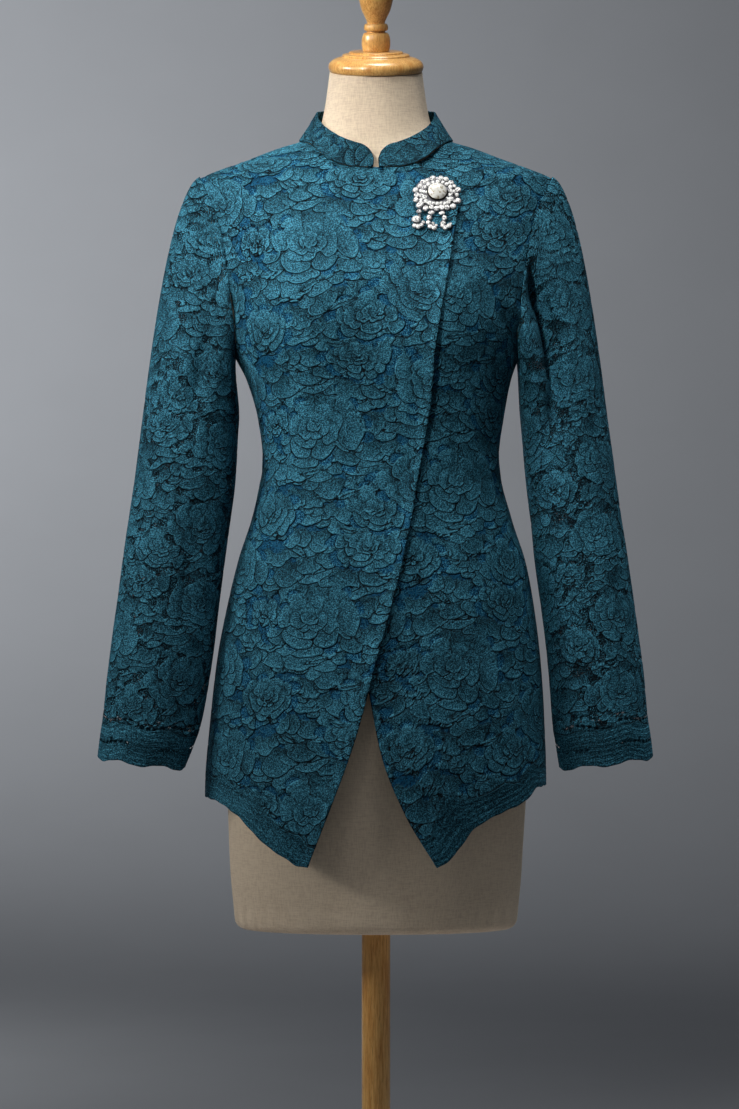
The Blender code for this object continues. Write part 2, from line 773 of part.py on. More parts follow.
def brooch_frame():
    """Matrix of the brooch: X across, Y up along the cloth, Z away from it, at its middle on the cloth."""
    angle = float(angle_at(BROOCH_X, BROOCH_HEIGHT))
    lift = float(lap_lift(angle)) + SEAM_GAP + BROOCH_LIFT
    middle = Vector(cloth_point(angle, BROOCH_HEIGHT, lift).tolist())
    away = Vector(face_normal(angle, np.float64(BROOCH_HEIGHT)).tolist())
    across = Vector((0, 0, 1)).cross(away).normalized()
    up = away.cross(across)
    turn = Matrix((across, up, away)).transposed().to_4x4()
    return Matrix.Translation(middle) @ turn


def wire(name, points, radius, parts, finish, closed=False):
    """A wire along points, as a mesh with welded caps."""
    curve = bpy.data.curves.new(name, "CURVE")
    curve.dimensions = "3D"
    curve.bevel_depth = radius
    curve.bevel_resolution = 1
    curve.use_fill_caps = True
    line = curve.splines.new("POLY")
    line.points.add(len(points) - 1)
    for spot, point in zip(line.points, points):
        spot.co = (*point, 1.0)
    line.use_cyclic_u = closed
    guide = bpy.data.objects.new(name + "_guide", curve)
    parts.objects.link(guide)
    bpy.context.view_layer.update()
    graph = bpy.context.evaluated_depsgraph_get()
    mesh = bpy.data.meshes.new_from_object(guide.evaluated_get(graph))
    bpy.data.objects.remove(guide, do_unlink=True)
    edit = bmesh.new()
    edit.from_mesh(mesh)
    bmesh.ops.remove_doubles(edit, verts=edit.verts, dist=0.00001)
    bmesh.ops.recalc_face_normals(edit, faces=edit.faces)
    edit.to_mesh(mesh)
    edit.free()
    mesh.materials.clear()
    return new_object(name, mesh, parts, finish)


def join_to(body, others):
    """Joins other solids to a body by Boolean unions, and hides them."""
    for other in others:
        union = body.modifiers.new("Join " + other.name, "BOOLEAN")
        union.operation = "UNION"
        union.object = other
        other.hide_render = True
        other.display_type = "WIRE"


def arc(centre, radius, start, end, steps):
    """Points along an arc in the plane of the brooch, angles in degrees."""
    turns = [math.radians(start + (end - start) * step / steps) for step in range(steps + 1)]
    return [(centre[0] + radius * math.cos(turn), centre[1] + radius * math.sin(turn), centre[2]) for turn in turns]


def make_bail(name, across, up, reach, parts, finish):
    """A staple whose middle runs across at (across, up) and whose legs go up into the brooch's rim."""
    points = [(across - BAIL_HALF, up + reach, BAIL_LIFT), (across - BAIL_HALF, up, BAIL_LIFT)]
    points += [(across + BAIL_HALF, up, BAIL_LIFT), (across + BAIL_HALF, up + reach, BAIL_LIFT)]
    return wire(name, points, WIRE, parts, finish)


def stone(name, across, up, radius, low, high, parts, finish):
    """A low round setting that stands off the cloth, in the brooch's own axes."""
    profile = ((0.0, high), (0.6 * radius, high), (radius, (low + high) / 2), (radius, low), (0.0, low))
    thing = turned(name, profile, 12, parts, finish)
    thing.location = (across, up, 0.0)
    return thing


def make_drop(name, across, up, parts, finish):
    """A hanging drop: a ring round its bail, then a round or a curled body."""
    ring_middle = (0.0, -(RING - RING_WIRE - WIRE - SEAM_GAP), 0.0)
    turns = [2 * math.pi * step / 12 for step in range(12)]
    ring_points = [
        (0.0, ring_middle[1] + RING * math.cos(turn), RING * math.sin(turn)) for turn in turns
    ]
    ring = wire(name, ring_points, RING_WIRE, parts, finish, closed=True)
    top = ring_middle[1] - RING
    if name == DROPS[0][0]:
        link = [(0.0, top + 0.0002, 0.0), (-0.0018, top - 0.0075, 0.0)]
        bridge = [(-0.0034, top - 0.0130, 0.0), (-0.0026, top - 0.0182, 0.0)]
        bodies = [
            wire(name + "_link", link, 0.0013, parts, finish),
            stone(name + "_round", -0.0036, top - 0.0108, 0.0043, -0.0013, 0.0013, parts, finish),
            wire(name + "_bridge", bridge, 0.0012, parts, finish),
            wire(name + "_crescent", arc((-0.0021, top - 0.0134, 0.0), 0.0053, 222, 355, 8), 0.0018, parts, finish),
        ]
    elif name == DROPS[1][0]:
        curl = [(0.0, top + 0.0002, 0.0), (-0.0006, top - 0.0038, 0.0), (-0.0014, top - 0.0066, 0.0)]
        curl += arc((0.0011, top - 0.0122, 0.0), 0.0053, 132, 305, 8)
        bodies = [wire(name + "_curl", curl, 0.0018, parts, finish)]
    else:
        curl = [(0.0, top + 0.0002, 0.0), (0.0006, top - 0.0038, 0.0), (0.0007, top - 0.0072, 0.0)]
        curl += arc((0.0041, top - 0.0129, 0.0), 0.0045, 148, 330, 8)
        bodies = [wire(name + "_curl", curl, 0.0018, parts, finish)]
    return ring, bodies


def make_brooch(parts, cutters, finish):
    """The clasp that holds the fronts together, and the drops that swing from its lower rim."""
    place = brooch_frame()
    brooch = turned("brooch", BROOCH_PROFILE, BROOCH_SIDES, parts, finish)
    oval = Matrix.Diagonal((1.0, BROOCH_TALL, 1.0, 1.0))
    brooch.matrix_world = place @ Matrix.Translation((0.0, -BROOCH_SET_DOWN, 0.0)) @ oval
    joined = []
    for name, across, up, radius in DROPS:
        setting = stone(name + "_setting", across, up + RING_ROOM + radius, radius, 0.0004, 0.0036, cutters, finish)
        joined.append(setting)
        joined.append(make_bail(name + "_bail", across, up, RING_ROOM + 0.6 * radius, cutters, finish))
        ring, bodies = make_drop(name, across, up, parts, finish)
        hinge = place @ Matrix.Translation((across, up, BAIL_LIFT))
        ring.matrix_world = hinge
        for body in bodies:
            cutters.objects.link(body)
            parts.objects.unlink(body)
            body.matrix_world = hinge @ body.matrix_basis
        join_to(ring, bodies)
    for other in joined:
        other.matrix_world = place @ other.matrix_basis
    join_to(brooch, joined)


def main():
    clear_scene()
    parts = bpy.data.collections.new("Kebaya on dress form")
    cutters = bpy.data.collections.new("Helpers")
    bpy.context.scene.collection.children.link(parts)
    bpy.context.scene.collection.children.link(cutters)
    lace = material("Teal lace", "lace", 0.85)
    make_fronts(parts, lace)
    make_back(parts, lace)
    make_sleeves(parts, lace)
    make_collar(parts, lace)
    make_form(parts, material("Cream linen", "linen", 0.9))
    oak = material("Varnished oak", "oak", 0.35)
    make_neck_block(parts, oak)
    make_stand(parts, oak)
    make_brooch(parts, cutters, material("Silver and crystal", "silver", 0.15, 1.0))


if __name__ == "__main__":
    main()
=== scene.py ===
"""Lace kebaya blouse with a stand collar and crossed fronts, on a limbless dress form.

Metres, +Z up. The blouse faces -Y and the wearer's left side is at +X. Every cloth piece is a thin
sheet on one smooth body surface, on which an angle is 0 at centre front and 90 degrees at the
wearer's left. Lace is measured in millimetres on its own flat design.
"""

from __future__ import annotations

import logging
import math
from dataclasses import dataclass, field
from enum import Enum, IntEnum
from typing import Callable, Sequence

import bpy
import numpy as np
from mathutils import Matrix, Vector


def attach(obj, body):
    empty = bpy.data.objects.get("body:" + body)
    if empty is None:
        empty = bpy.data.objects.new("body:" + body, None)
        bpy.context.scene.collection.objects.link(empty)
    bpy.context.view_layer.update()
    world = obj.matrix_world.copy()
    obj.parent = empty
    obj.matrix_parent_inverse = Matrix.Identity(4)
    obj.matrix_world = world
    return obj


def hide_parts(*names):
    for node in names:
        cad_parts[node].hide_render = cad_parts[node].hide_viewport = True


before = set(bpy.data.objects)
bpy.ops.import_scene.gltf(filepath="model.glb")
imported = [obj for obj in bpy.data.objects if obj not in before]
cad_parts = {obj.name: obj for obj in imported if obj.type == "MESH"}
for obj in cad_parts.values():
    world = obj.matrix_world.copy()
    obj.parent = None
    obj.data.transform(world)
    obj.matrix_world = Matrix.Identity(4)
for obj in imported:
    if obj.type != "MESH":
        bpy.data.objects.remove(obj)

log = logging.getLogger("kebaya")
Array = np.ndarray
Row = tuple[float, ...]
Table = tuple[Row, ...]
Colour = tuple[float, float, float]
Thing = bpy.types.Object
Material = bpy.types.Material
Socket = bpy.types.NodeSocket
Value = Socket | float | Row

CLOTH_BODY = "dressed_form"
MM = 0.001

# Cloth; a fold is how far it reaches past the edge and how deep it goes.
WALL = 0.0016
SEAM_GAP = 0.0003
LAP_GAP = 0.0013
LAP_START = math.radians(56)
LAP_END = math.radians(26)
LACE_LIFT = 0.0001
LACE_RELIEF = 0.0009
HEM_FOLD = (0.0004, 0.0013)
SIDE_FOLD = (0.0011, 0.0028)
FOLDED_BACK = 0.0050
LINING_DEPTH = 0.0013
LINING_STEP = 4
MOST_RAISED = 0.0036
EDGE_RAISED = 0.0036
EDGE_RAISED_COLUMNS = 5
EDGE_SETTLES = (1.305, 1.335)

# Hem of a body panel: its ruffles (rise, length, phase) and its flare, with how far up each reaches.
HEM_RUFFLES = ((0.0004, 0.0031, 0.0), (0.0004, 0.0173, 1.0))
RUFFLE_REACH = 0.012
FLARE = 0.0014
FLARE_REACH = 0.16
FLARE_LENGTH = 0.021
FLARE_SWAY = 0.09

# Map of lengths along the worn cloth: a column a degree and a row for each step of height.
MAP_ANGLES = (-104, 284)
MAP_HEIGHTS = (0.60, 1.46)
MAP_ROW = 0.005
WAIST_HEIGHT = 1.0

# Widths of the worn cloth: height, sideways middle, half width.
WIDTHS = (
    (0.560, 0.000, 0.1710), (0.640, 0.000, 0.1770), (0.720, 0.001, 0.1785), (0.793, 0.002, 0.1745),
    (0.856, 0.003, 0.1690), (0.919, 0.005, 0.1590), (0.961, 0.006, 0.1497), (1.003, 0.006, 0.1360),
    (1.045, 0.005, 0.1260), (1.070, 0.005, 0.1234), (1.108, 0.005, 0.1280), (1.150, 0.003, 0.1380),
    (1.176, 0.001, 0.1490), (1.220, 0.000, 0.1630), (1.270, 0.000, 0.1730), (1.320, 0.000, 0.1810),
    (1.350, 0.000, 0.1870), (1.358, 0.000, 0.1870), (1.3625, 0.000, 0.1800), (1.3705, 0.000, 0.1600),
    (1.381, 0.000, 0.1310), (1.3915, 0.000, 0.1030), (1.3985, 0.000, 0.0800), (1.408, 0.000, 0.0670),
    (1.425, 0.000, 0.0585), (1.490, 0.000, 0.0490),
)

# Depths of the worn cloth: height, depth to the front, depth to the back, power of its rounded section.
DEPTHS = (
    (0.560, 0.102, 0.113, 2.20), (0.640, 0.107, 0.121, 2.20), (0.720, 0.110, 0.127, 2.20),
    (0.820, 0.107, 0.126, 2.20), (0.920, 0.098, 0.110, 2.20), (1.000, 0.089, 0.088, 2.20),
    (1.065, 0.085, 0.077, 2.20), (1.130, 0.093, 0.083, 2.25), (1.200, 0.105, 0.095, 2.35),
    (1.265, 0.099, 0.099, 2.40), (1.320, 0.079, 0.092, 2.40), (1.355, 0.0625, 0.082, 2.35),
    (1.375, 0.0550, 0.0735, 2.25), (1.3985, 0.0510, 0.0610, 2.15), (1.425, 0.0495, 0.0535, 2.10),
    (1.490, 0.0465, 0.0475, 2.05),
)

# Bust: sideways place, height, rise and spread of each soft crown.
BUST_X = 0.086
BUST_HEIGHT = 1.207
BUST_RISE = 0.0135
BUST_SPREAD = 0.055

# Ease between the dress form and the cloth: height, ease.
EASE = (
    (0.560, 0.0240), (0.720, 0.0200), (0.800, 0.0110), (0.880, 0.0045), (1.000, 0.0035), (1.200, 0.0035),
    (1.300, 0.0020), (1.340, 0.0016), (1.365, 0.0014), (1.390, 0.0009), (1.500, 0.0009),
)

# Armholes, in body angle from the side seam
UNDERARM_HEIGHT = 1.176
SHOULDER_HEIGHT = 1.3605
ARMHOLE_FRONT = math.radians(29)
ARMHOLE_BACK = math.radians(26)
ARMHOLE_SQUARENESS = 0.6

# Neck seam seen from above
NECK_HALF = 0.0785
NECK_FRONT = 0.0580
NECK_BACK = 0.0570
NECK_POWER_FRONT = 3.0
NECK_POWER_BACK = 2.3
NECK_SEAM_BETWEEN = (1.350, 1.450)
NECK_SEAM_HALVINGS = 40

# Hem of each front, from its side seam to its point: angle in degrees, height.
OUTER_HEM = (
    (90.0, 0.7143), (69.0, 0.7118), (52.0, 0.6984), (44.0, 0.6839), (36.7, 0.6693), (27.8, 0.6547), (24.0, 0.6490),
    (20.8, 0.6484),
)
UNDER_HEM = (
    (90.0, 0.7258), (67.8, 0.7270), (57.0, 0.7134), (41.8, 0.6996), (31.7, 0.6850), (27.4, 0.6700), (22.6, 0.6545),
    (18.6, 0.6477),
)
BACK_HEM_DIP = 0.014

# Free edge of each front, from its point up to the neck seam: height, sideways place.
OUTER_EDGE = (
    (0.6484, -0.0695), (0.7065, -0.0490), (0.7780, -0.0254), (0.8700, -0.0040), (0.9610, 0.0143), (1.0530, 0.0325),
    (1.1150, 0.0430), (1.2050, 0.0630), (1.2840, 0.0768), (1.3268, 0.0834),
)
OUTER_NECK_END = 0.0400
UNDER_EDGE = (
    (0.6477, 0.0630), (0.7015, 0.0305), (0.7626, 0.0061), (0.8186, -0.0051), (0.9500, -0.0330), (1.1000, -0.0500),
    (1.2500, -0.0550), (1.3268, -0.0460),
)
UNDER_NECK_END = -0.0300

# Collar, open at centre front; its lace's scale, turn and shift along and up.
COLLAR_OPENING = 0.0040
COLLAR_TOP_HALF = 0.0605
COLLAR_TOP_FRONT = 0.0545
COLLAR_TOP_BACK = 0.0550
COLLAR_TOP_POWER = 2.4
COLLAR_FRONT_HEIGHT = 1.3890
COLLAR_SIDE_HEIGHT = 1.4300
COLLAR_BACK_HEIGHT = 1.4400
COLLAR_CORNER = 0.0110
COLLAR_LIFT = 0.0008
COLLAR_LEAVES_OUTER = (math.radians(24), math.radians(38))
COLLAR_RADIUS = 0.066
COLLAR_LACE = (1.25, math.radians(62), 0.055, 0.118)

# Sleeves: height, sideways centre, forward centre, half width, half depth; wearer's right, then left.
# After them, a cuff's waves (count, rise, fade) and the lace on a sleeve (scale, shift around, shift along).
SLEEVE_RIGHT = (
    (1.105, 0.1945, -0.003, 0.0500, 0.0465), (1.045, 0.2000, -0.006, 0.0520, 0.0455),
    (1.003, 0.2058, -0.008, 0.0523, 0.0445), (0.961, 0.2116, -0.011, 0.0525, 0.0435),
    (0.919, 0.2169, -0.014, 0.0525, 0.0420), (0.877, 0.2222, -0.017, 0.0530, 0.0405),
    (0.835, 0.2278, -0.020, 0.0525, 0.0390), (0.793, 0.2340, -0.023, 0.0505, 0.0365),
    (0.772, 0.2390, -0.025, 0.0485, 0.0350), (0.750, 0.2446, -0.026, 0.0455, 0.0335),
)
SLEEVE_LEFT = (
    (1.105, 0.1975, -0.003, 0.0450, 0.0465), (1.045, 0.2042, -0.006, 0.0465, 0.0455),
    (1.003, 0.2095, -0.008, 0.0468, 0.0445), (0.961, 0.2148, -0.011, 0.0480, 0.0435),
    (0.919, 0.2206, -0.014, 0.0480, 0.0420), (0.877, 0.2260, -0.017, 0.0482, 0.0405),
    (0.835, 0.2305, -0.020, 0.0490, 0.0390), (0.793, 0.2338, -0.023, 0.0492, 0.0365),
    (0.772, 0.2369, -0.025, 0.0492, 0.0350), (0.750, 0.2398, -0.026, 0.0488, 0.0335),
)
SLEEVE_LEAN = math.radians(7.0)
CAP_ROWS = 9
CAP_LEAVES = 0.024
CAP_LEAVES_ALONG = (0.91, 0.0, -0.41)
CAP_DROPS_OUTSIDE = 0.160
CAP_DROPS_INSIDE = 0.030
CAP_CROWDING = 1.15
CUFF_WAVES = ((6, 0.0018, 8), (17, 0.0003, 18))
SLEEVE_RADIUS = 0.0500
CUFF_RADIUS = 0.0495
SLEEVE_LACE = (1.2, 0.037, 0.061)

# Long soft folds down the front of a sleeve: turn in degrees, middle height, half length, half width, depth.
FOLDS_RIGHT = (
    (95.0, 1.150, 0.052, 12.0, 0.0060), (112.0, 0.960, 0.080, 16.0, 0.0030), (146.0, 1.215, 0.040, 13.0, 0.0040),
    (262.0, 1.060, 0.120, 20.0, 0.0040),
)
DEEP_FOLD = 0.006
FOLD_OVERHANG = 0.5
FOLDS_LEFT = (
    (101.0, 1.285, 0.034, 12.0, 0.0095), (94.0, 1.243, 0.036, 12.0, 0.0155), (92.0, 1.197, 0.038, 12.0, 0.0190),
    (96.0, 1.152, 0.036, 12.0, 0.0185), (108.0, 1.115, 0.026, 12.0, 0.0125), (122.0, 1.090, 0.016, 10.0, 0.0040),
    (122.0, 1.190, 0.075, 13.0, -0.0060), (84.0, 0.980, 0.090, 18.0, 0.0030), (258.0, 1.090, 0.110, 20.0, 0.0045),
)

# Dress form
FORM_BOTTOM = 0.575
FORM_EDGE = 0.010
NECK_START = 1.340
NECK_TOP = 1.4735
NECK_TILT = math.radians(13)
NECK_TILT_START = 1.420
LEVEL_ROWS = 8
WEAVE_RADIUS = 0.11

# Stand
POLE_RADIUS = 0.0150
BASE_RADIUS = 0.1700
BASE_PROFILE = (
    (0.0000, 0.0360), (0.0240, 0.0360), (0.0280, 0.0330), (0.0600, 0.0265), (0.1560, 0.0215), (0.1670, 0.0170),
    (BASE_RADIUS, 0.0100), (BASE_RADIUS, 0.0000), (0.0000, 0.0000),
)

# Brooch: its middle on the outer front, its oval plate and its dome, turned by radius, height over the cloth,
# and the near-black bar round the dome's lower side, a painted shadow: radius, from and to in degrees, thickness.
BROOCH_X = 0.0610
BROOCH_HEIGHT = 1.3400
BROOCH_LIFT = 0.0005
BROOCH_TALL = 0.87
BROOCH_SET_DOWN = 0.0034
PLATE_PROFILE = (
    (0.0088, 0.0031), (0.0098, 0.0033), (0.0104, 0.0029), (0.0162, 0.0027), (0.0170, 0.0018), (0.0205, 0.0017),
    (0.0216, 0.0014), (0.0219, 0.0008), (0.0214, 0.0001),
)
RIM_BEADS = 60
RIM_RADIUS = 0.0214
DOME_PLACE = (0.0014, -0.0025)
DOME_PROFILE = (
    (0.0010, 0.0050), (0.0040, 0.0047), (0.0072, 0.0037), (0.0092, 0.0024), (0.0102, 0.0008), (0.0100, -0.0006),
)
DOME_SHADOW_ARC_LIFT = 0.0036
DOME_SHADOW_ARC = (0.0103, 172, 362, 0.0008)
WIRE = 0.00035
RING = 0.0011
RING_WIRE = 0.00035
BAIL_HALF = 0.0012
BAIL_LIFT = 0.0024
RING_ROOM = 0.0017

# Drops: name, hinge across and up from the brooch's middle, top stone's radius.
DROPS = (
    ("brooch_drop_right", -0.0180, -0.0241, 0.0031),
    ("brooch_drop_middle", -0.0055, -0.0258, 0.0027),
    ("brooch_drop_left", 0.0060, -0.0262, 0.0027),
)

# Silver of each drop: a curved bar (sideways, down, radius, from and to in degrees), then rods (sideways, down,
# half width, half height, turn in degrees).
DROP_BARS = {
    "brooch_drop_right": (
        (-0.0021, 0.0134, 0.0053, 222, 355),
        (-0.0008, 0.0036, 0.0014, 0.0042, 12), (-0.0030, 0.0155, 0.0013, 0.0028, -9),
    ),
    "brooch_drop_middle": (
        (0.0011, 0.0122, 0.0053, 128, 305),
        (-0.0003, 0.0020, 0.0012, 0.0024, 8), (-0.0013, 0.0058, 0.0014, 0.0028, 14),
    ),
    "brooch_drop_left": (
        (0.0041, 0.0129, 0.0045, 145, 330),
        (0.0003, 0.0020, 0.0012, 0.0024, -8), (0.0006, 0.0066, 0.0014, 0.0036, -4),
    ),
}

# Turned neck block and finial, with their fine beads and grooves: radius, height over the piece below.
CAP_TURNED = (
    (0.0000, 0.0214), (0.0262, 0.0214), (0.0276, 0.0211), (0.0284, 0.0204), (0.0284, 0.0196), (0.0288, 0.0190),
    (0.0330, 0.0187), (0.0346, 0.0182), (0.0354, 0.0173), (0.0354, 0.0163), (0.0360, 0.0157), (0.0395, 0.0149),
    (0.0430, 0.0137), (0.0462, 0.0120), (0.0484, 0.0099), (0.0496, 0.0077), (0.0500, 0.0056), (0.0498, 0.0035),
    (0.0490, 0.0014), (0.0480, 0.0000), (0.0000, 0.0000),
)
FINIAL_TURNED = (
    (0.0000, 0.0880), (0.0060, 0.0868), (0.0115, 0.0830), (0.0160, 0.0765), (0.0187, 0.0680), (0.0190, 0.0620),
    (0.0182, 0.0555), (0.0152, 0.0428), (0.0112, 0.0342), (0.0093, 0.0295), (0.0092, 0.0288), (0.0112, 0.0282),
    (0.0125, 0.0262), (0.0127, 0.0238), (0.0118, 0.0216), (0.0098, 0.0208), (0.0096, 0.0202), (0.0098, 0.0196),
    (0.0124, 0.0186), (0.0141, 0.0156), (0.0150, 0.0112), (0.0150, 0.0066), (0.0144, 0.0024), (0.0138, 0.0004),
    (0.0136, 0.0000), (0.0000, 0.0000),
)


# ---------------------------------------------------------------- sizes and curves


def srgb(red: float, green: float, blue: float) -> tuple[float, float, float, float]:
    """A display colour of 0 to 255 steps as a linear colour for a shader."""
    def linear(step: float) -> float:
        """One display step as linear light."""
        value = step / 255
        return value / 12.92 if value <= 0.04045 else ((value + 0.055) / 1.055) ** 2.4

    return linear(red), linear(green), linear(blue), 1.0


def smooth_step(value: Array) -> Array:
    """A value clipped to 0 to 1 and eased at both ends."""
    value = np.clip(value, 0.0, 1.0)
    return value * value * (3 - 2 * value)


def signed_power(value: Array, power: Array | float) -> Array:
    """The size of a value raised to a power, with the value's sign."""
    return np.sign(value) * np.abs(value) ** power


def careful_tangents(steps: Array, slopes: Array) -> Array:
    """Tangents of a cubic that never overshoots its rows.

    Args:
        steps: Not used; distance between neighbouring rows, kept for the call that smooth_tangents shares.
        slopes: Slope of each column between neighbouring rows.

    Returns:
        A tangent for each row and column.
    """
    product = slopes[:-1] * slopes[1:]
    total = np.where(product > 0, slopes[:-1] + slopes[1:], 1.0)
    inner = np.where(product > 0, 2 * product / total, 0.0)
    return np.vstack([slopes[:1], inner, slopes[-1:]])


def smooth_tangents(steps: Array, slopes: Array) -> Array:
    """Tangents of a cubic whose curvature is continuous, straight at its ends.

    Args:
        steps: Distance between neighbouring rows.
        slopes: Slope of each column between neighbouring rows.

    Returns:
        A tangent for each row and column.
    """
    count = len(slopes) + 1
    matrix = np.eye(count) * 2
    matrix[0, 1] = matrix[-1, -2] = 1
    goal = np.zeros((count, slopes.shape[1]))
    goal[0] = 3 * slopes[0]
    goal[-1] = 3 * slopes[-1]
    for row in range(1, count - 1):
        before, after = steps[row - 1, 0], steps[row, 0]
        matrix[row, row - 1] = after / (before + after)
        matrix[row, row + 1] = before / (before + after)
        goal[row] = 3 * (after * slopes[row - 1] + before * slopes[row]) / (before + after)
    return np.linalg.solve(matrix, goal)


def columns(
    table: Sequence[Row] | Array,
    heights: Array | float,
    tangents_of: Callable[[Array, Array], Array] = careful_tangents,
) -> Array:
    """The columns of a table at any heights, by a cubic through its rows.

    Args:
        table: Rows whose first column rises.
        heights: Where to read the other columns.
        tangents_of: How the cubic's tangents are found.

    Returns:
        One array for each column after the first.
    """
    rows = np.array(table)
    knots = rows[:, 0]
    values = rows[:, 1:]
    steps = np.diff(knots)[:, None]
    tangents = tangents_of(steps, np.diff(values, axis=0) / steps)
    heights = np.clip(np.asarray(heights, float), knots[0], knots[-1])
    row = np.clip(np.searchsorted(knots, heights, side="right") - 1, 0, len(knots) - 2)
    width = steps[row]
    t = (heights - knots[row])[..., None] / width
    value = (2 * t**3 - 3 * t**2 + 1) * values[row] + (3 * t**2 - 2 * t**3) * values[row + 1]
    value += width * ((t**3 - 2 * t**2 + t) * tangents[row] + (t**3 - t**2) * tangents[row + 1])
    return np.moveaxis(value, -1, 0)


def pairs(angle: Array | float, height: Array | float) -> Array:
    """Angles and heights stacked as (angle, height) points."""
    return np.stack(np.broadcast_arrays(angle, height), axis=-1).astype(float)


def unit(vectors: Array) -> Array:
    """Vectors along the last axis at length 1."""
    return vectors / np.maximum(np.linalg.norm(vectors, axis=-1, keepdims=True), 1e-12)


def grid_normals(points: Array, closed: bool = False) -> Array:
    """Unit normals of a grid of points, from its neighbours along both axes.

    Args:
        points: Rows by columns of points.
        closed: Whether the last column meets the first.

    Returns:
        A normal for each point, turned as columns cross rows.
    """
    if closed:
        along = np.roll(points, -1, axis=1) - np.roll(points, 1, axis=1)
    else:
        along = np.gradient(points, axis=1)
    return unit(np.cross(along, np.gradient(points, axis=0)))


class BodySurface:
    """The smooth surface that the outer face of the worn cloth follows."""

    def __init__(self) -> None:
        """Measures lengths along the surface, for laying lace on it."""
        self.angles = np.radians(np.linspace(*MAP_ANGLES, MAP_ANGLES[1] - MAP_ANGLES[0] + 1))
        self.heights = np.linspace(*MAP_HEIGHTS, round((MAP_HEIGHTS[1] - MAP_HEIGHTS[0]) / MAP_ROW) + 1)
        points = self.face(self.angles[None, :], self.heights[:, None])
        across = np.linalg.norm(np.diff(points, axis=1), axis=-1)
        up = np.linalg.norm(np.diff(points, axis=0), axis=-1)
        self.across = np.pad(np.cumsum(across, axis=1), ((0, 0), (1, 0)))
        self.across -= self.across[:, [-MAP_ANGLES[0]]]
        self.up = np.pad(np.cumsum(up, axis=0), ((1, 0), (0, 0)))
        self.up -= self.up[[round((WAIST_HEIGHT - MAP_HEIGHTS[0]) / MAP_ROW)]]

    def depths(self, height: Array) -> Array:
        """Front depth, back depth and power of the section at a height."""
        return columns(DEPTHS, height, smooth_tangents)

    def face(self, angle: Array, height: Array) -> Array:
        """Points on the outer face of the worn cloth."""
        mid, half = columns(WIDTHS, height)
        front, back, power = self.depths(height)
        side = np.sin(angle)
        ahead = np.cos(angle)
        x = mid + half * signed_power(side, 2 / power)
        y = np.where(ahead > 0, -front, back) * np.abs(ahead) ** (2 / power)
        away = ((np.abs(x) - BUST_X) ** 2 + (height - BUST_HEIGHT) ** 2) / BUST_SPREAD**2
        y = y - BUST_RISE * np.clip(ahead, 0, 1) * np.exp(-away)
        return np.stack([x, y, height + 0 * x], axis=-1)

    def normal(self, angle: Array, height: Array) -> Array:
        """Outward unit normals of the face."""
        turn = 0.002
        rise = 0.0005
        along = self.face(angle + turn, height) - self.face(angle - turn, height)
        up = self.face(angle, height + rise) - self.face(angle, height - rise)
        return unit(np.cross(along, up))

    def point(self, angle: Array, height: Array, lift: Array | float = 0.0) -> Array:
        """Points that stand a given lift outside the face."""
        angle, height, lift = np.broadcast_arrays(angle, height, lift)
        return self.face(angle, height) + self.normal(angle, height) * lift[..., None]

    def laid_out(self, angle: Array, height: Array) -> tuple[Array, Array]:
        """Lengths across from centre front and up from the waist to points of the surface, in metres."""
        places = []
        for value, steps in ((angle, self.angles), (height, self.heights)):
            places.append(np.clip((value - steps[0]) / (steps[1] - steps[0]), 0, len(steps) - 2.001))
        column, row = places
        low, left = row.astype(int), column.astype(int)
        up, right = row - low, column - left
        found = []
        for lengths in (self.across, self.up):
            lower = lengths[low, left] * (1 - right) + lengths[low, left + 1] * right
            upper = lengths[low + 1, left] * (1 - right) + lengths[low + 1, left + 1] * right
            found.append(lower * (1 - up) + upper * up)
        return found[0], found[1]

    def seam_angle(self, height: Array, facing: int) -> Array:
        """The body angle just ahead of (facing 1) or behind (facing -1) the side and shoulder seam."""
        front, back, power = self.depths(height)
        depth = front if facing > 0 else back
        return math.pi / 2 - facing * np.arcsin((SEAM_GAP / 2 / depth) ** (power / 2))

    def across_back(self, height: Array) -> Array:
        """Lengths across from centre front to centre back."""
        return self.laid_out(np.full_like(height, math.pi), height)[0]

    def angle_at(self, x: Array, height: Array) -> Array:
        """The body angle at a sideways place on the front."""
        mid, half = columns(WIDTHS, height)
        power = self.depths(height)[2]
        reach = np.clip(np.abs(x - mid) / half, 0, 1)
        return np.sign(x - mid) * np.arcsin(reach ** (power / 2))

    def neck_seam(self, turn: Array) -> tuple[Array, Array]:
        """Body angle and height of the neck seam; turn runs round it as seen from above, 0 at centre front."""
        side = np.sin(turn)
        ahead = np.cos(turn)
        power = np.where(ahead > 0, NECK_POWER_FRONT, NECK_POWER_BACK)
        x = NECK_HALF * signed_power(side, 2 / power)
        y = np.where(ahead > 0, NECK_FRONT, NECK_BACK) * np.abs(ahead) ** (2 / power)
        low, high = (np.full(np.shape(turn), limit) for limit in NECK_SEAM_BETWEEN)
        for _ in range(NECK_SEAM_HALVINGS):
            height = (low + high) / 2
            half = columns(WIDTHS, height)[1]
            front, back, shape = self.depths(height)
            depth = np.where(ahead > 0, front, back)
            reach = (np.abs(x) / half) ** shape + (y / depth) ** shape
            low = np.where(reach < 1, height, low)
            high = np.where(reach < 1, high, height)
        angle = np.arctan2((np.abs(x) / half) ** (shape / 2), (y / depth) ** (shape / 2))
        angle = np.where(ahead > 0, angle, math.pi - angle)
        return np.sign(side) * angle, height

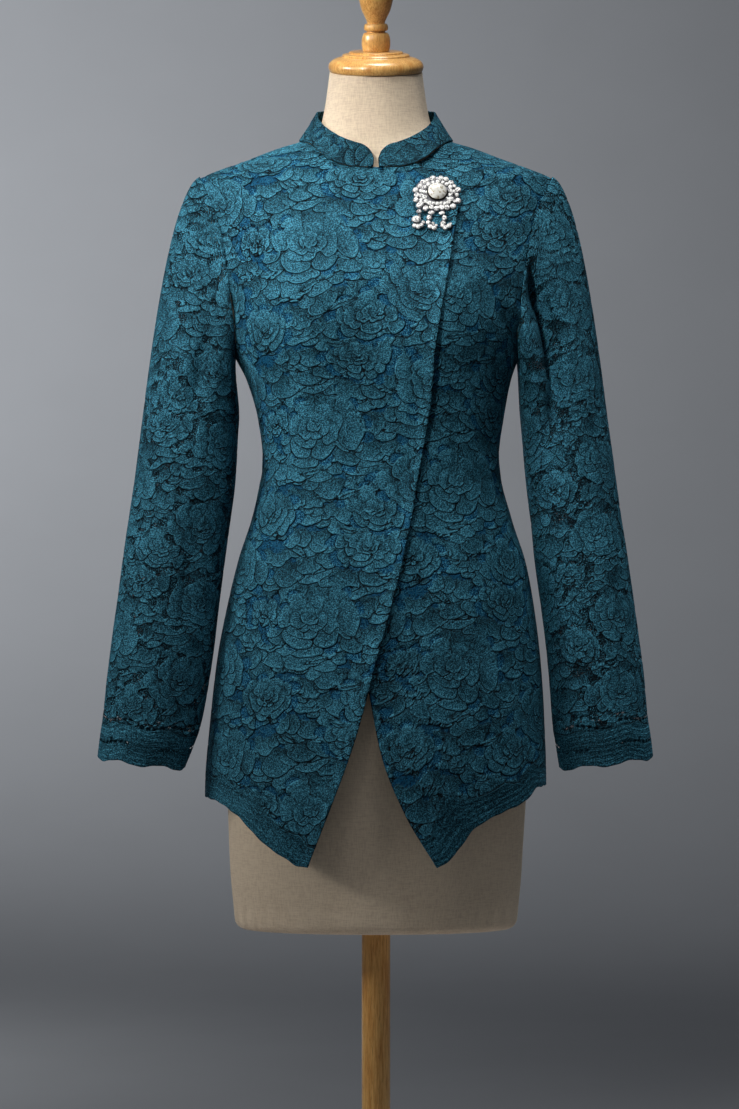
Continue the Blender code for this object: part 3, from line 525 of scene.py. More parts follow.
    def armhole(self, turn: Array) -> tuple[Array, Array]:
        """Body angle and height round the left armhole: turn 0 at the shoulder, 90 degrees at the front."""
        middle = (SHOULDER_HEIGHT + UNDERARM_HEIGHT) / 2
        height = middle + (SHOULDER_HEIGHT - UNDERARM_HEIGHT) / 2 * np.cos(turn)
        across = np.sin(turn)
        reach = np.where(across > 0, ARMHOLE_FRONT, -ARMHOLE_BACK)
        return math.pi / 2 - reach * np.abs(across) ** ARMHOLE_SQUARENESS, height

    def lap_lift(self, angle: Array) -> Array:
        """How far the outer front is lifted over the under front."""
        return (WALL + LAP_GAP) * smooth_step((LAP_START + angle) / (LAP_START - LAP_END))


# ---------------------------------------------------------------- lace


class Motif(Enum):
    """The shapes that the lace is drawn from."""

    PETAL = "petal"
    LEAF = "leaf"
    BUD = "bud"
    WINDOW = "window"
    EYELET = "eyelet"


class Channel(IntEnum):
    """What the lace design holds at each place."""

    EDGE = 0
    SIDE = 1
    TONE = 2
    COVER = 3
    PHASE = 4
    HOLE = 5
    RELIEF = 6


@dataclass(frozen=True)
class Stitch:
    """One motif on the flat design, in millimetres and degrees."""

    kind: Motif
    x: float
    y: float
    long: float
    wide: float
    turn: float
    tone: float
    lobes: int = 0
    notch: float = 0.0
    above: float = 0.0
    bold: float = 1.0


@dataclass
class LaceDesign:
    """A repeating floral lace, drawn as motifs that overlap like scales, the upper rows on top."""

    width: float = 232.0
    height: float = 196.0
    cell: float = 0.5
    seed: int = 11
    scale_rows: int = 14
    line_reach: float = 3.2
    rib: float = 2.3
    blooms: Table = (
        (46, 46, 1.0), (162, 96, 1.08), (226, 14, 0.78), (62, 148, 0.95), (112, 12, 0.72), (214, 168, 0.74),
        (112, 104, 0.50),
    )
    tiers: tuple[tuple[float, int, float], ...] = ((30.0, 9, 1.35), (18.5, 7, 1.20), (9.0, 6, 0.85), (3.5, 4, 0.55))
    stamens: int = 7
    leaf_count: int = 26
    bud_count: int = 34
    window_count: int = 64
    eyelet_groups: int = 22
    fields: Array = field(init=False)

    def __post_init__(self) -> None:
        """Draws every motif once, from the lowest to the topmost."""
        across = round(self.width / self.cell)
        up = round(self.height / self.cell)
        self.fields = np.zeros((len(Channel), up, across))
        self.fields[Channel.TONE] = 0.35
        stitches = self.scales() + self.flowers() + self.leaves() + self.small_work()
        placed = [(s.y + s.above + shift, shift, s) for s in stitches for shift in (-self.height, 0.0, self.height)]
        for _, shift, stitch in sorted(placed, key=lambda item: item[0]):
            self.draw(stitch, shift)

    def scales(self) -> list[Stitch]:
        """Bands of broad scalloped petals that hang down and overlap."""
        rng = np.random.default_rng(self.seed)
        made = []
        for row in range(self.scale_rows):
            wave = rng.uniform(0, 2 * math.pi)
            x = rng.uniform(0, 12)
            end = x + self.width
            while x < end - 7:
                wide = rng.choice((rng.uniform(6, 10), rng.uniform(8, 13), rng.uniform(12, 18)))
                long = rng.uniform(0.60, 0.95) * min(wide, 13.0) + 2
                y = row * self.height / self.scale_rows
                y += 6.5 * math.sin(4 * math.pi * x / self.width + wave) + rng.uniform(-3, 3)
                made.append(Stitch(
                    Motif.PETAL, x + wide * 0.8, y, long, wide, -90 + rng.uniform(-24, 24), rng.uniform(0.42, 0.58),
                    round(rng.choice((0.1, 0.34)) * wide) + int(rng.integers(1, 4)), rng.uniform(0.07, 0.15),
                    rng.uniform(-5, 5), rng.uniform(0.3, 1.0),
                ))
                x += wide * rng.uniform(1.1, 1.5)
        return made

    def strewn(self, count: int, step: float, start: float) -> list[tuple[float, float]]:
        """Places spread over the design, each a step of its width on from the last and a little higher."""
        return [((number * step % 1.0) * self.width, (number + start) / count * self.height) for number in range(count)]

    def flowers(self) -> list[Stitch]:
        """Open peonies in four tiers of round petals, a little flattened, with bare ground round them."""
        rng = np.random.default_rng(self.seed + 1)
        made = []
        for x, y, size in self.blooms:
            start = rng.uniform(0, 360)
            for tier, (out, petals, scale) in enumerate(self.tiers):
                for petal in range(petals):
                    turn = start + 360 / petals * (petal + 0.5 * tier) + rng.uniform(-13, 13)
                    dx = 1.20 * out * size * rng.uniform(0.86, 1.08) * math.cos(math.radians(turn))
                    dy = 0.70 * out * size * rng.uniform(0.86, 1.08) * math.sin(math.radians(turn))
                    grow = size * scale * rng.uniform(0.75, 1.18)
                    made.append(Stitch(
                        Motif.PETAL, x + dx, y + dy, 7.4 * grow, 9.0 * grow,
                        math.degrees(math.atan2(dy, dx)), rng.uniform(0.45, 0.58), int(rng.integers(0, 7)),
                        rng.uniform(0.05, 0.15), 62 + 12 * tier - dy + rng.uniform(0, 0.5), rng.uniform(0.35, 1.0),
                    ))
                    if tier == 0:
                        made.append(Stitch(
                            Motif.WINDOW, x + 1.36 * dx, y + 1.42 * dy, rng.uniform(6, 10), rng.uniform(5, 8),
                            rng.uniform(-40, 40), 0.2, 3, 0.08, 60 - 1.42 * dy, rng.uniform(0.5, 1.0),
                        ))
            for hole in range(self.stamens):
                turn = 2 * math.pi * hole / self.stamens
                made.append(Stitch(
                    Motif.EYELET, x + 5.6 * size * math.cos(turn), y + 4.2 * size * math.sin(turn), 0.75, 1.0, 0, 0.2,
                    above=120,
                ))
        return made

    def leaves(self) -> list[Stitch]:
        """Long pointed leaves that lie across the bands."""
        rng = np.random.default_rng(self.seed + 2)
        made = []
        for leaf, (x, y) in enumerate(self.strewn(self.leaf_count, 0.618034, 0.5)):
            turn = rng.uniform(-35, 35) + (180 if leaf % 2 else 0)
            made.append(Stitch(
                Motif.LEAF, x, y, rng.uniform(10, 20), rng.uniform(2.6, 4.8), turn, rng.uniform(0.45, 0.64),
                above=rng.uniform(0, 8) + 62 * (leaf % 3 == 0), bold=rng.uniform(0.35, 0.9),
            ))
        return made

    def small_work(self) -> list[Stitch]:
        """Buds, lens-shaped windows onto the ground net, and eyelets in short rows."""
        rng = np.random.default_rng(self.seed + 3)
        made = []
        for bud in range(self.bud_count):
            x, y = (bud * 0.754878 % 1.0) * self.width, (bud * 0.569840 % 1.0) * self.height
            made.append(Stitch(
                Motif.BUD, x, y, rng.uniform(3, 6.5), rng.uniform(2.5, 5), rng.uniform(0, 180),
                rng.uniform(0.42, 0.6), int(rng.integers(4, 8)), 0.12, rng.uniform(2, 12), rng.uniform(0.3, 0.9),
            ))
        for x, y in self.strewn(self.window_count, 0.381966, 0.3):
            made.append(Stitch(
                Motif.WINDOW, x, y, rng.uniform(4.5, 10), rng.uniform(3.0, 6.5), rng.uniform(-35, 35), 0.2,
                int(rng.integers(2, 5)), 0.1, rng.uniform(-8, 4), rng.uniform(0.4, 1.0),
            ))
        for x, y in self.strewn(self.eyelet_groups, 0.445042, 0.6):
            lean = rng.uniform(-0.6, 0.6)
            for hole in range(int(rng.integers(3, 8))):
                made.append(Stitch(
                    Motif.EYELET, x + 3.6 * hole, y + 3.6 * hole * lean + rng.uniform(-0.6, 0.6),
                    rng.uniform(0.6, 1.15), 1.0, 0, 0.2, above=60,
                ))
        return made

    def draw(self, stitch: Stitch, shift: float) -> None:
        """Draws one motif over what lies under it.

        Args:
            stitch: The motif.
            shift: How far up this copy of it is moved, in millimetres.
        """
        reach = max(stitch.long, stitch.wide) + self.line_reach + 1
        middle_y = stitch.y + shift
        up = np.arange(math.floor((middle_y - reach) / self.cell), math.ceil((middle_y + reach) / self.cell))
        up = up[(up >= 0) & (up < self.fields.shape[1])]
        if not len(up):
            return
        across = np.arange(math.floor((stitch.x - reach) / self.cell), math.ceil((stitch.x + reach) / self.cell))
        dx = (across[None, :] + 0.5) * self.cell - stitch.x
        dy = (up[:, None] + 0.5) * self.cell - middle_y
        turn = math.radians(stitch.turn)
        p = dx * math.cos(turn) + dy * math.sin(turn)
        q = dy * math.cos(turn) - dx * math.sin(turn)
        inside, phase, midrib = self.shape(stitch, p, q)
        window = np.ix_(range(len(Channel)), up, across % self.fields.shape[2])
        old = self.fields[window]
        new = old.copy()
        within = inside > 0
        away = np.clip(inside / self.line_reach, -1, 1)
        if stitch.kind is Motif.EYELET:
            hole = np.clip((stitch.long - np.hypot(p, q)) / 0.7 + 0.5, 0, 1)
            new[Channel.HOLE] = np.maximum(old[Channel.HOLE], hole)
            new[Channel.RELIEF] = old[Channel.RELIEF] * (1 - 0.7 * hole)
        elif stitch.kind is Motif.WINDOW:
            # Painted shade along the window's border, heaviest at its top, under the petals above it.
            under = np.clip((1 - inside / self.line_reach) * self.shade_weight(stitch, dx, dy), 0, 1)
            for channel, value in (
                (Channel.EDGE, under), (Channel.SIDE, -away), (Channel.COVER, 0.0), (Channel.HOLE, 0.0),
                (Channel.RELIEF, 0.12),
            ):
                new[channel] = np.where(within, value, old[channel])
        else:
            dome = 0.42 + 0.33 * (1 - np.exp(-inside / 1.8)) + 0.20 * np.exp(-(((inside - 1.0) / 0.7) ** 2))
            tone = stitch.tone + 0.16 * p / stitch.long
            # Painted shade and highlight along the outline, heaviest below the motif, where light from above leaves
            # shade under its edge.
            close = (1 - np.abs(inside) / self.line_reach) * self.shade_weight(stitch, dx, -dy)
            lit = close > np.where(within, 0.0, old[Channel.EDGE])
            foot = 0.35 * np.clip(close, 0, 1) ** 2
            new[Channel.RELIEF] = np.maximum(old[Channel.RELIEF] - foot, 0)
            for channel, value, where in (
                (Channel.EDGE, np.clip(close, 0, 1), lit | within), (Channel.SIDE, away, lit | within),
                (Channel.TONE, tone, within), (Channel.COVER, 1.0, within), (Channel.PHASE, phase, within),
                (Channel.HOLE, 0.0, within), (Channel.RELIEF, dome, within),
            ):
                new[channel] = np.where(where, value, new[channel])
            if midrib is not None:
                rib = np.clip(1 - midrib / 1.1, 0, 1) * within
                stronger = rib > new[Channel.EDGE]
                new[Channel.EDGE] = np.where(stronger, rib * 0.9, new[Channel.EDGE])
                new[Channel.SIDE] = np.where(stronger, -0.3, new[Channel.SIDE])
        self.fields[window] = new

    def shade_weight(self, stitch: Stitch, dx: Array, rise: Array) -> Array:
        """How heavy a motif's outline of painted shade is, heaviest on the side that rise points to, where light from
        above leaves shade under a raised edge.
        """
        shaded_side = np.clip(0.5 + 0.75 * rise / (np.hypot(dx, rise) + 0.1), 0.16, 1.0)
        return 0.30 + 0.70 * shaded_side * stitch.bold

    def shape(self, stitch: Stitch, p: Array, q: Array) -> tuple[Array, Array, Array | None]:
        """A motif's outline and threads.

        Args:
            stitch: The motif.
            p: Place along it, in millimetres.
            q: Place across it, in millimetres.

        Returns:
            Distance inside its edge, phase of its threads, and a leaf's distance from its midrib.
        """
        long, wide = stitch.long, stitch.wide
        if stitch.kind is Motif.LEAF:
            level = wide * (1 - (p / long) ** 2) - np.abs(q)
            inside = level / np.sqrt(1 + (2 * wide * p / long**2) ** 2)
            phase = (0.8 * p + np.abs(q)) / 2.1
            return inside, phase, np.abs(q)
        wide_here = wide * (1 + 0.22 * np.clip(p / long, -1, 1))
        ring = np.sqrt((p / long) ** 2 + (q / wide_here) ** 2) + 1e-6
        around = np.arctan2(q / wide_here, p / long)
        if stitch.lobes:
            ring = ring / (1 + stitch.notch * (np.abs(np.cos(stitch.lobes * around / 2)) - 0.64))
        slope = np.sqrt((p / long**2) ** 2 + (q / wide_here**2) ** 2) / ring + 1e-6
        inside = (1 - ring) / slope
        if stitch.kind is Motif.BUD:
            return inside, np.hypot(p, q) / 1.9, None
        fan = np.arctan2(q, p + 1.15 * long)
        return inside, fan * 1.6 * long / self.rib, None

    def sample(self, across: Array, up: Array) -> Array:
        """The design at places on the cloth.

        Args:
            across: Lengths across the cloth, in metres.
            up: Lengths up it, in metres.

        Returns:
            An array of channels for each place, channels last.
        """
        x, y = across / MM, up / MM
        # Long and short bends hide the repeat, and the last ones make the threads' edges shake.
        bent_x = x + 4.0 * np.sin(y / 22 + 1.3 * np.sin(x / 33)) + 0.7 * np.sin(y / 5.3 + x / 9.7)
        bent_y = y + 4.0 * np.sin(x / 29 + 1.1 * np.sin(y / 41)) + 0.8 * np.sin(x / 7.1 + 2.0 * np.sin(y / 13))
        bent_x = bent_x + 0.22 * np.sin(x / 2.7 - y / 3.1)
        bent_y = bent_y + 0.22 * np.sin(x / 2.3 + y / 4.3)
        column = np.mod(bent_x / self.cell - 0.5, self.fields.shape[2])
        row = np.mod(bent_y / self.cell - 0.5, self.fields.shape[1])
        left, low = np.floor(column).astype(int), np.floor(row).astype(int)
        x, y = column - left, row - low
        left, low = left % self.fields.shape[2], low % self.fields.shape[1]
        right, high = (left + 1) % self.fields.shape[2], (low + 1) % self.fields.shape[1]
        lower = self.fields[:, low, left] * (1 - x) + self.fields[:, low, right] * x
        upper = self.fields[:, high, left] * (1 - x) + self.fields[:, high, right] * x
        return np.moveaxis(lower * (1 - y) + upper * y, 0, -1)


@dataclass(frozen=True)
class LaceBorder:
    """The corded band along a hem or cuff, with rows of eyelets; sizes in millimetres from the edge."""

    depth: float = 26.0
    eyelet_rows: tuple[float, ...] = (19.5,)
    eyelet_step: float = 6.8
    eyelet_radius: float = 1.15
    eyelet_long: float = 1.0
    cord_step: float = 5.4

    def apply(self, channels: Array, along: Array, from_edge: Array) -> Array:
        """Draws the band over the lace.

        Args:
            channels: The lace at each place.
            along: Length along the edge, in metres.
            from_edge: Distance from the edge, in metres.

        Returns:
            The channels with the band in them.
        """
        s, w = along / MM, from_edge / MM
        top = self.depth - 5.0 * np.abs(np.sin(s / 13.5 + 0.7 * np.sin(s / 31))) + 2.5 * np.sin(s / 37)
        signed = top - w
        mask = np.clip(signed / 1.5 + 0.5, 0, 1)[..., None]
        made = np.zeros_like(channels)
        bold = 0.55 + 0.35 * np.sin(s / 17)
        made[..., Channel.EDGE] = np.clip(1 - np.abs(signed) / 3.0, 0, 1) * bold
        made[..., Channel.SIDE] = np.clip(signed / 3.0, -1, 1)
        made[..., Channel.TONE] = 0.48 + 0.07 * np.sin(s / 29 + 1.0) + 0.05 * np.sin(w / 4.1)
        made[..., Channel.COVER] = 1.0
        made[..., Channel.PHASE] = w / 2.7 + 0.6 * np.sin(s / 14) + 0.4 * np.sin(s / 5.3)
        cord = np.cos(2 * math.pi * (w + 1.3 * np.sin(s / 14) + 0.5 * np.sin(s / 4.7)) / self.cord_step)
        made[..., Channel.RELIEF] = 0.50 + 0.13 * cord
        outside = np.clip(1 + signed / 3.0, 0, 1) * (signed < 0) * bold
        channels = channels.copy()
        stronger = outside > channels[..., Channel.EDGE]
        channels[..., Channel.EDGE] = np.where(stronger, outside, channels[..., Channel.EDGE])
        channels[..., Channel.SIDE] = np.where(stronger, -0.3, channels[..., Channel.SIDE])
        mixed = channels * (1 - mask) + made * mask
        for number, row in enumerate(self.eyelet_rows):
            step = np.floor(s / self.eyelet_step)
            kept = (np.sin(step * 12.9898 + number * 4.1) > -0.35) & (np.sin(s / 31 + 2.4 * number) > -0.45)
            dx = (s - (step + 0.5) * self.eyelet_step) / self.eyelet_long
            dy = w - row - self.eyelet_long * np.sin(s / 23 + number)
            hole = np.clip((self.eyelet_radius - np.hypot(dx, dy)) / 0.8 + 0.5, 0, 1) * kept
            mixed[..., Channel.HOLE] = np.maximum(mixed[..., Channel.HOLE], hole)
            mixed[..., Channel.RELIEF] *= 1 - 0.6 * hole
        return mixed


def crease_depth(creases: Table, points: Array) -> Array:
    """How far a panel's soft troughs draw each of its points inwards.

    Args:
        creases: Sideways place, height, half length, half width, lean from upright in degrees, depth.
        points: The panel's points.

    Returns:
        A depth for each point, in metres.
    """
    drawn = 0.0
    for x, z, long, wide, lean, depth in creases:
        lean = math.radians(lean)
        dx, dz = points[..., 0] - x, points[..., 2] - z
        along = (dx * math.sin(lean) + dz * math.cos(lean)) / long
        across = (dx * math.cos(lean) - dz * math.sin(lean)) / wide
        drawn = drawn + depth * np.exp(-(along**2) - across**2)
    return drawn


class Edge(Enum):
    """The four sides of a cloth grid."""

    BOTTOM = "bottom"
    TOP = "top"
    LEFT = "left"
    RIGHT = "right"


@dataclass
class LaceSheet:
    """One thin sheet of lace on a grid of points, with its raised design and turned edges."""

    name: str
    points: Array
    normals: Array
    channels: Array
    finish: Material
    closed: bool = False
    turned: tuple[Edge, ...] = ()
    relief: float = LACE_RELIEF
    flip: bool = False

    def build(self) -> Thing:
        """Makes the sheet.

        Returns:
            The new object, at the origin.
        """
        raised = LACE_LIFT + self.relief * self.channels[..., Channel.RELIEF]
        points = self.points + self.normals * raised[..., None]
        normals, channels = self.normals, self.channels
        for edge in self.turned:
            points, normals, channels = self.turn_edge(points, normals, channels, edge)
        thing = cloth_object(self.name, points, self.finish, self.closed, self.flip)
        for label, held in (
            ("lace", [Channel.EDGE, Channel.SIDE, Channel.TONE, Channel.COVER]),
            ("threads", [Channel.PHASE, Channel.HOLE, Channel.RELIEF, Channel.COVER]),
        ):
            layer = thing.data.attributes.new(label, "FLOAT_COLOR", "POINT")
            layer.data.foreach_set("color", channels[..., held].astype(np.float32).ravel())
        return thing

    def turn_edge(self, points: Array, normals: Array, channels: Array, edge: Edge) -> tuple[Array, Array, Array]:
        """Folds a narrow hem to the inside along one side.

        Args:
            points: The sheet's points.
            normals: Their normals.
            channels: The lace at each point.
            edge: The side to fold.

        Returns:
            Points, normals and channels with the hem's rows added.
        """
        axis = 0 if edge in (Edge.BOTTOM, Edge.TOP) else 1
        last = edge in (Edge.TOP, Edge.RIGHT)
        rim, inner = (-1, -5) if last else (0, 4)
        at_rim = np.take(points, [rim], axis)
        out = unit(at_rim - np.take(points, [inner], axis))
        away = np.take(normals, [rim], axis)
        beside = edge in (Edge.LEFT, Edge.RIGHT)
        reach, deep = SIDE_FOLD if beside else HEM_FOLD
        folded = [
            at_rim + out * reach - away * 0.0005,
            at_rim + out * 0.0001 - away * deep,
            at_rim - out * FOLDED_BACK - away * (deep + 0.0003),
        ]
        more = np.concatenate(folded if last else folded[::-1], axis)
        same = np.repeat(np.take(channels, [rim], axis), 3, axis)
        # On a side edge the fold's rolled row is marked as a heavy outline, so it takes the painted crease shade.
        if beside:
            nearest = 0 if last else -1
            same[:, nearest, Channel.EDGE], same[:, nearest, Channel.SIDE] = 1.0, -0.1
        along = np.repeat(away, 3, axis)
        pairs_of = ((points, more), (normals, along), (channels, same))
        return tuple(np.concatenate(both if last else both[::-1], axis) for both in pairs_of)


def cloth_object(
    name: str, points: Array, finish: Material, closed: bool = False, flip: bool = False
) -> Thing:
    """A mesh of quads on a grid of points.

    Args:
        name: The piece's name.
        points: Rows by columns of points.
        finish: Its material.
        closed: Whether the last column meets the first.
        flip: Whether the faces are turned round.

    Returns:
        The new object, at the origin.
    """
    rows, across = points.shape[:2]
    index = np.arange(rows * across).reshape(rows, across)
    if closed:
        index = np.concatenate([index, index[:, :1]], axis=1)
    corners = [index[:-1, :-1], index[:-1, 1:], index[1:, 1:], index[1:, :-1]]
    faces = np.stack(corners[::-1] if flip else corners, axis=-1).reshape(-1, 4)
    mesh = bpy.data.meshes.new(name)
    mesh.vertices.add(rows * across)
    mesh.vertices.foreach_set("co", points.astype(np.float32).ravel())
    mesh.loops.add(faces.size)
    mesh.loops.foreach_set("vertex_index", faces.astype(np.int32).ravel())
    mesh.polygons.add(len(faces))
    mesh.polygons.foreach_set("loop_start", np.arange(0, faces.size, 4, dtype=np.int32))
    mesh.update(calc_edges=True)
    mesh.shade_smooth()
    thing = bpy.data.objects.new(name, mesh)
    bpy.context.scene.collection.objects.link(thing)
    thing.data.materials.append(finish)
    return thing


# ---------------------------------------------------------------- finishes


class Shader:
    """Builds the nodes of one material round its principled surface."""

    def __init__(self, name: str, constants: dict[str, float | tuple[float, ...]]) -> None:
        """Starts the material.

        Args:
            name: Its name.
            constants: Values of the surface's own sockets that stay the same all over.
        """
        self.material = bpy.data.materials.new(name)
        self.material.use_nodes = True
        self.tree = self.material.node_tree
        self.surface = self.tree.nodes["Principled BSDF"]
        for label, value in constants.items():
            self.surface.inputs[label].default_value = value

    def add(self, kind: str, inputs: dict[str | int, Value], **settings: object) -> bpy.types.Node:
        """Adds a node.

        Args:
            kind: Its type, without the words that all shader nodes start with.
            inputs: A value or a socket for each input, by name or number.
            **settings: The node's own properties.

        Returns:
            The new node.
        """
        node = self.tree.nodes.new("ShaderNode" + kind)
        for label, value in settings.items():
            setattr(node, label, value)
        for label, value in inputs.items():
            if isinstance(value, Socket):
                self.tree.links.new(value, node.inputs[label])
            else:
                node.inputs[label].default_value = value
        return node

    def math(self, operation: str, first: Value, second: Value = 0.0, third: Value = 0.0) -> Socket:
        """The result of a sum on one to three values."""
        return self.add("Math", {0: first, 1: second, 2: third}, operation=operation).outputs[0]

    def times(self, first: Value, second: Value) -> Socket:
        """The product of two values."""
        return self.math("MULTIPLY", first, second)

    def ramp(self, value: Value, low: float, high: float, start: float = 0.0, end: float = 1.0) -> Socket:
        """A value eased from start to end as it goes from low to high."""
        inputs = {"Value": value, "From Min": low, "From Max": high, "To Min": start, "To Max": end}
        return self.add("MapRange", inputs, interpolation_type="SMOOTHSTEP").outputs[0]

    def mix(self, factor: Value, first: Value, second: Value, blend: str = "MIX") -> Socket:
        """Two colours mixed by a factor."""
        node = self.add("Mix", {0: factor, 6: first, 7: second}, data_type="RGBA", blend_type=blend)
        return node.outputs[2]

    def coordinates(self) -> Socket:
        """The piece's own coordinates, in metres."""
        return self.add("TexCoord", {}).outputs["Object"]

    def noise(self, scale: float, detail: float = 2.0, stretch: tuple[float, ...] = (1, 1, 1)) -> Socket:
        """Soft noise from 0 to 1 in the piece's own coordinates."""
        mapped = self.add("Mapping", {"Vector": self.coordinates(), "Scale": stretch}).outputs[0]
        node = self.add("TexNoise", {"Vector": mapped, "Scale": scale, "Detail": detail, "Roughness": 0.6})
        return node.outputs["Fac"]

    def bump(self, height: Value, distance: float, strength: float = 1.0) -> None:
        """Raises the surface by a height in steps of a distance."""
        node = self.add("Bump", {"Height": height, "Distance": distance, "Strength": strength})
        self.tree.links.new(node.outputs[0], self.surface.inputs["Normal"])

    def set(self, label: str, value: Socket) -> None:
        """Feeds one input of the surface."""
        self.tree.links.new(value, self.surface.inputs[label])


@dataclass(frozen=True)
class LaceFinish:
    """Embroidered lace threads over a ground of lining, or of bare net whose near-black ground is painted shade from
    inside the piece; outlines carry painted shade and painted highlight; colours of 0 to 255 steps.
    """

    name: str
    pale: Colour = (78, 152, 178)
    mid: Colour = (33, 80, 97)
    deep: Colour = (8, 27, 36)
    # Near-black painted shade, laid in the creases along motif outlines and in the eyelet holes.
    painted_shade: Colour = (2, 8, 13)
    ground: Colour = (6, 82, 122)
    see_through: bool = False
    grain: float = 0.42

    def make(self) -> Material:
        """Builds the material."""
        shader = Shader(self.name, {
            "Roughness": 0.72, "Sheen Weight": 0.03, "Sheen Roughness": 0.4, "Sheen Tint": srgb(90, 160, 190),
            "Specular IOR Level": 0.08,
        })
        lace = shader.add("Attribute", {}, attribute_name="lace")
        threads = shader.add("Attribute", {}, attribute_name="threads")
        edge, side, tone = shader.add("SeparateColor", {0: lace.outputs["Color"]}).outputs
        phase, hole, relief = shader.add("SeparateColor", {0: threads.outputs["Color"]}).outputs
        cover = shader.ramp(lace.outputs["Alpha"], 0.35, 0.65)
        fine = shader.noise(880, 1.0)
        coarse = shader.noise(360, 2.0)
        cloudy = shader.noise(22, 3.0)
        bent = shader.math("MULTIPLY_ADD", shader.noise(110, 1.0), 1.6, phase)
        rib = shader.math("SINE", shader.times(bent, 2 * math.pi))
        shade = shader.math("MULTIPLY_ADD", rib, 0.05, tone)
        shade = shader.math("ADD", shade, shader.ramp(fine, 0.36, 0.64, -self.grain * 0.8, self.grain * 0.8))
        shade = shader.math("ADD", shade, shader.ramp(coarse, 0.3, 0.7, -self.grain * 0.2, self.grain * 0.2))
        shade = shader.math("ADD", shade, shader.ramp(cloudy, 0.3, 0.7, -0.09, 0.09))
        low = shader.mix(shader.ramp(shade, 0.0, 0.5), srgb(*self.deep), srgb(*self.mid))
        thread = shader.mix(shader.ramp(shade, 0.5, 1.05), low, srgb(*self.pale))
        bold = shader.ramp(edge, 0.20, 0.60)
        # A paler cord just inside each outline, brightened as painted highlight where the outline is heaviest.
        rim = shader.times(shader.ramp(side, 0.02, 0.10), shader.ramp(side, 0.36, 0.22))
        thread = shader.mix(shader.times(shader.times(rim, bold), 0.50), thread, srgb(*self.pale))
        net = shader.mix(shader.ramp(fine, 0.50, 0.36), srgb(*self.ground), srgb(*self.deep))
        ground = shader.mix(shader.ramp(fine, 0.50, 0.64), net, thread)
        colour = shader.mix(cover, ground, thread)
        shadow = shader.times(shader.ramp(edge, 0.05, 0.70), shader.ramp(side, 0.06, -0.06))
        colour = shader.mix(shader.times(shadow, 0.45), colour, srgb(*self.deep))
        # Painted shade: a near-black line just outside each motif's outline, heaviest on the motif's lower side.
        crease_shade = shader.times(shader.ramp(side, -0.28, -0.14), shader.ramp(side, 0.05, -0.03))
        crease_shade = shader.times(crease_shade, bold)
        colour = shader.mix(shader.times(crease_shade, 0.96), colour, srgb(*self.painted_shade))
        # Painted shade in the eyelet holes.
        colour = shader.mix(shader.times(hole, 0.95), colour, srgb(*self.painted_shade))
        shader.set("Base Color", colour)
        if self.see_through:
            between = shader.times(shader.math("SUBTRACT", 1.0, cover), shader.ramp(fine, 0.44, 0.36))
            gap = shader.math("MAXIMUM", shader.times(between, 0.7), shader.ramp(hole, 0.45, 0.75))
            shader.set("Alpha", shader.math("SUBTRACT", 1.0, gap))
        height = shader.math("MULTIPLY_ADD", fine, 0.30, shader.times(rib, 0.08))
        height = shader.math("MULTIPLY_ADD", coarse, 0.25, height)
        step = shader.times(shader.ramp(side, -0.22, 0.10, -0.5, 0.5), bold)
        height = shader.math("ADD", height, step)
        shader.bump(shader.math("MULTIPLY_ADD", relief, 1.2, height), 0.0012, 1.0)
        return shader.material


@dataclass(frozen=True)
class SatinFinish:
    """A plain smooth lining cloth with a fine weave."""

    name: str = "Teal lining satin"
    colour: Colour = (8, 52, 73)
    worn: Colour = (16, 67, 86)

    def make(self) -> Material:
        """Builds the material."""
        shader = Shader(self.name, {"Roughness": 0.42, "Sheen Weight": 0.2, "Specular IOR Level": 0.45})
        weave = shader.noise(1500, 1.0, (1, 1, 0.3))
        cloudy = shader.noise(14, 2.0)
        colour = shader.mix(shader.ramp(cloudy, 0.3, 0.7), srgb(*self.colour), srgb(*self.worn))
        shader.set("Base Color", shader.mix(shader.ramp(weave, 0.3, 0.7, 0.0, 0.25), colour, srgb(6, 30, 44)))
        shader.bump(weave, 0.0002, 0.5)
        return shader.material


@dataclass(frozen=True)
class LinenFinish:
    """Plain-woven cream linen stretched over the form."""

    name: str = "Cream linen"
    pale: Colour = (246, 226, 198)
    deep: Colour = (214, 190, 162)
    thread: float = 0.0009

    def make(self) -> Material:
        """Builds the material."""
        shader = Shader(self.name, {"Roughness": 0.85, "Sheen Weight": 0.15, "Specular IOR Level": 0.25})
        where = shader.add("Attribute", {}, attribute_name="laid_out")
        across, up, _ = shader.add("SeparateXYZ", {0: where.outputs["Vector"]}).outputs
        slub = shader.noise(160, 3.0)
        waves = []
        for place in (across, up):
            turn = shader.math("MULTIPLY_ADD", slub, 1.6, shader.times(place, 2 * math.pi / self.thread))
            waves.append(shader.math("SINE", turn))
        weave = shader.times(waves[0], waves[1])
        slubs = shader.math("ADD", shader.ramp(shader.noise(900, 2.0, (1, 1, 0.12)), 0.3, 0.7),
                            shader.ramp(shader.noise(900, 2.0, (0.12, 0.12, 1)), 0.3, 0.7))
        shade = shader.math("MULTIPLY_ADD", weave, 0.10, shader.times(slubs, 0.30))
        shade = shader.math("MULTIPLY_ADD", shader.noise(9, 2.0), 0.35, shade)
        colour = shader.mix(shader.ramp(shade, -0.1, 0.8), srgb(*self.deep), srgb(*self.pale))
        shader.set("Base Color", colour)
        shader.bump(shader.math("MULTIPLY_ADD", slubs, 0.6, weave), 0.00018, 0.7)
        return shader.material


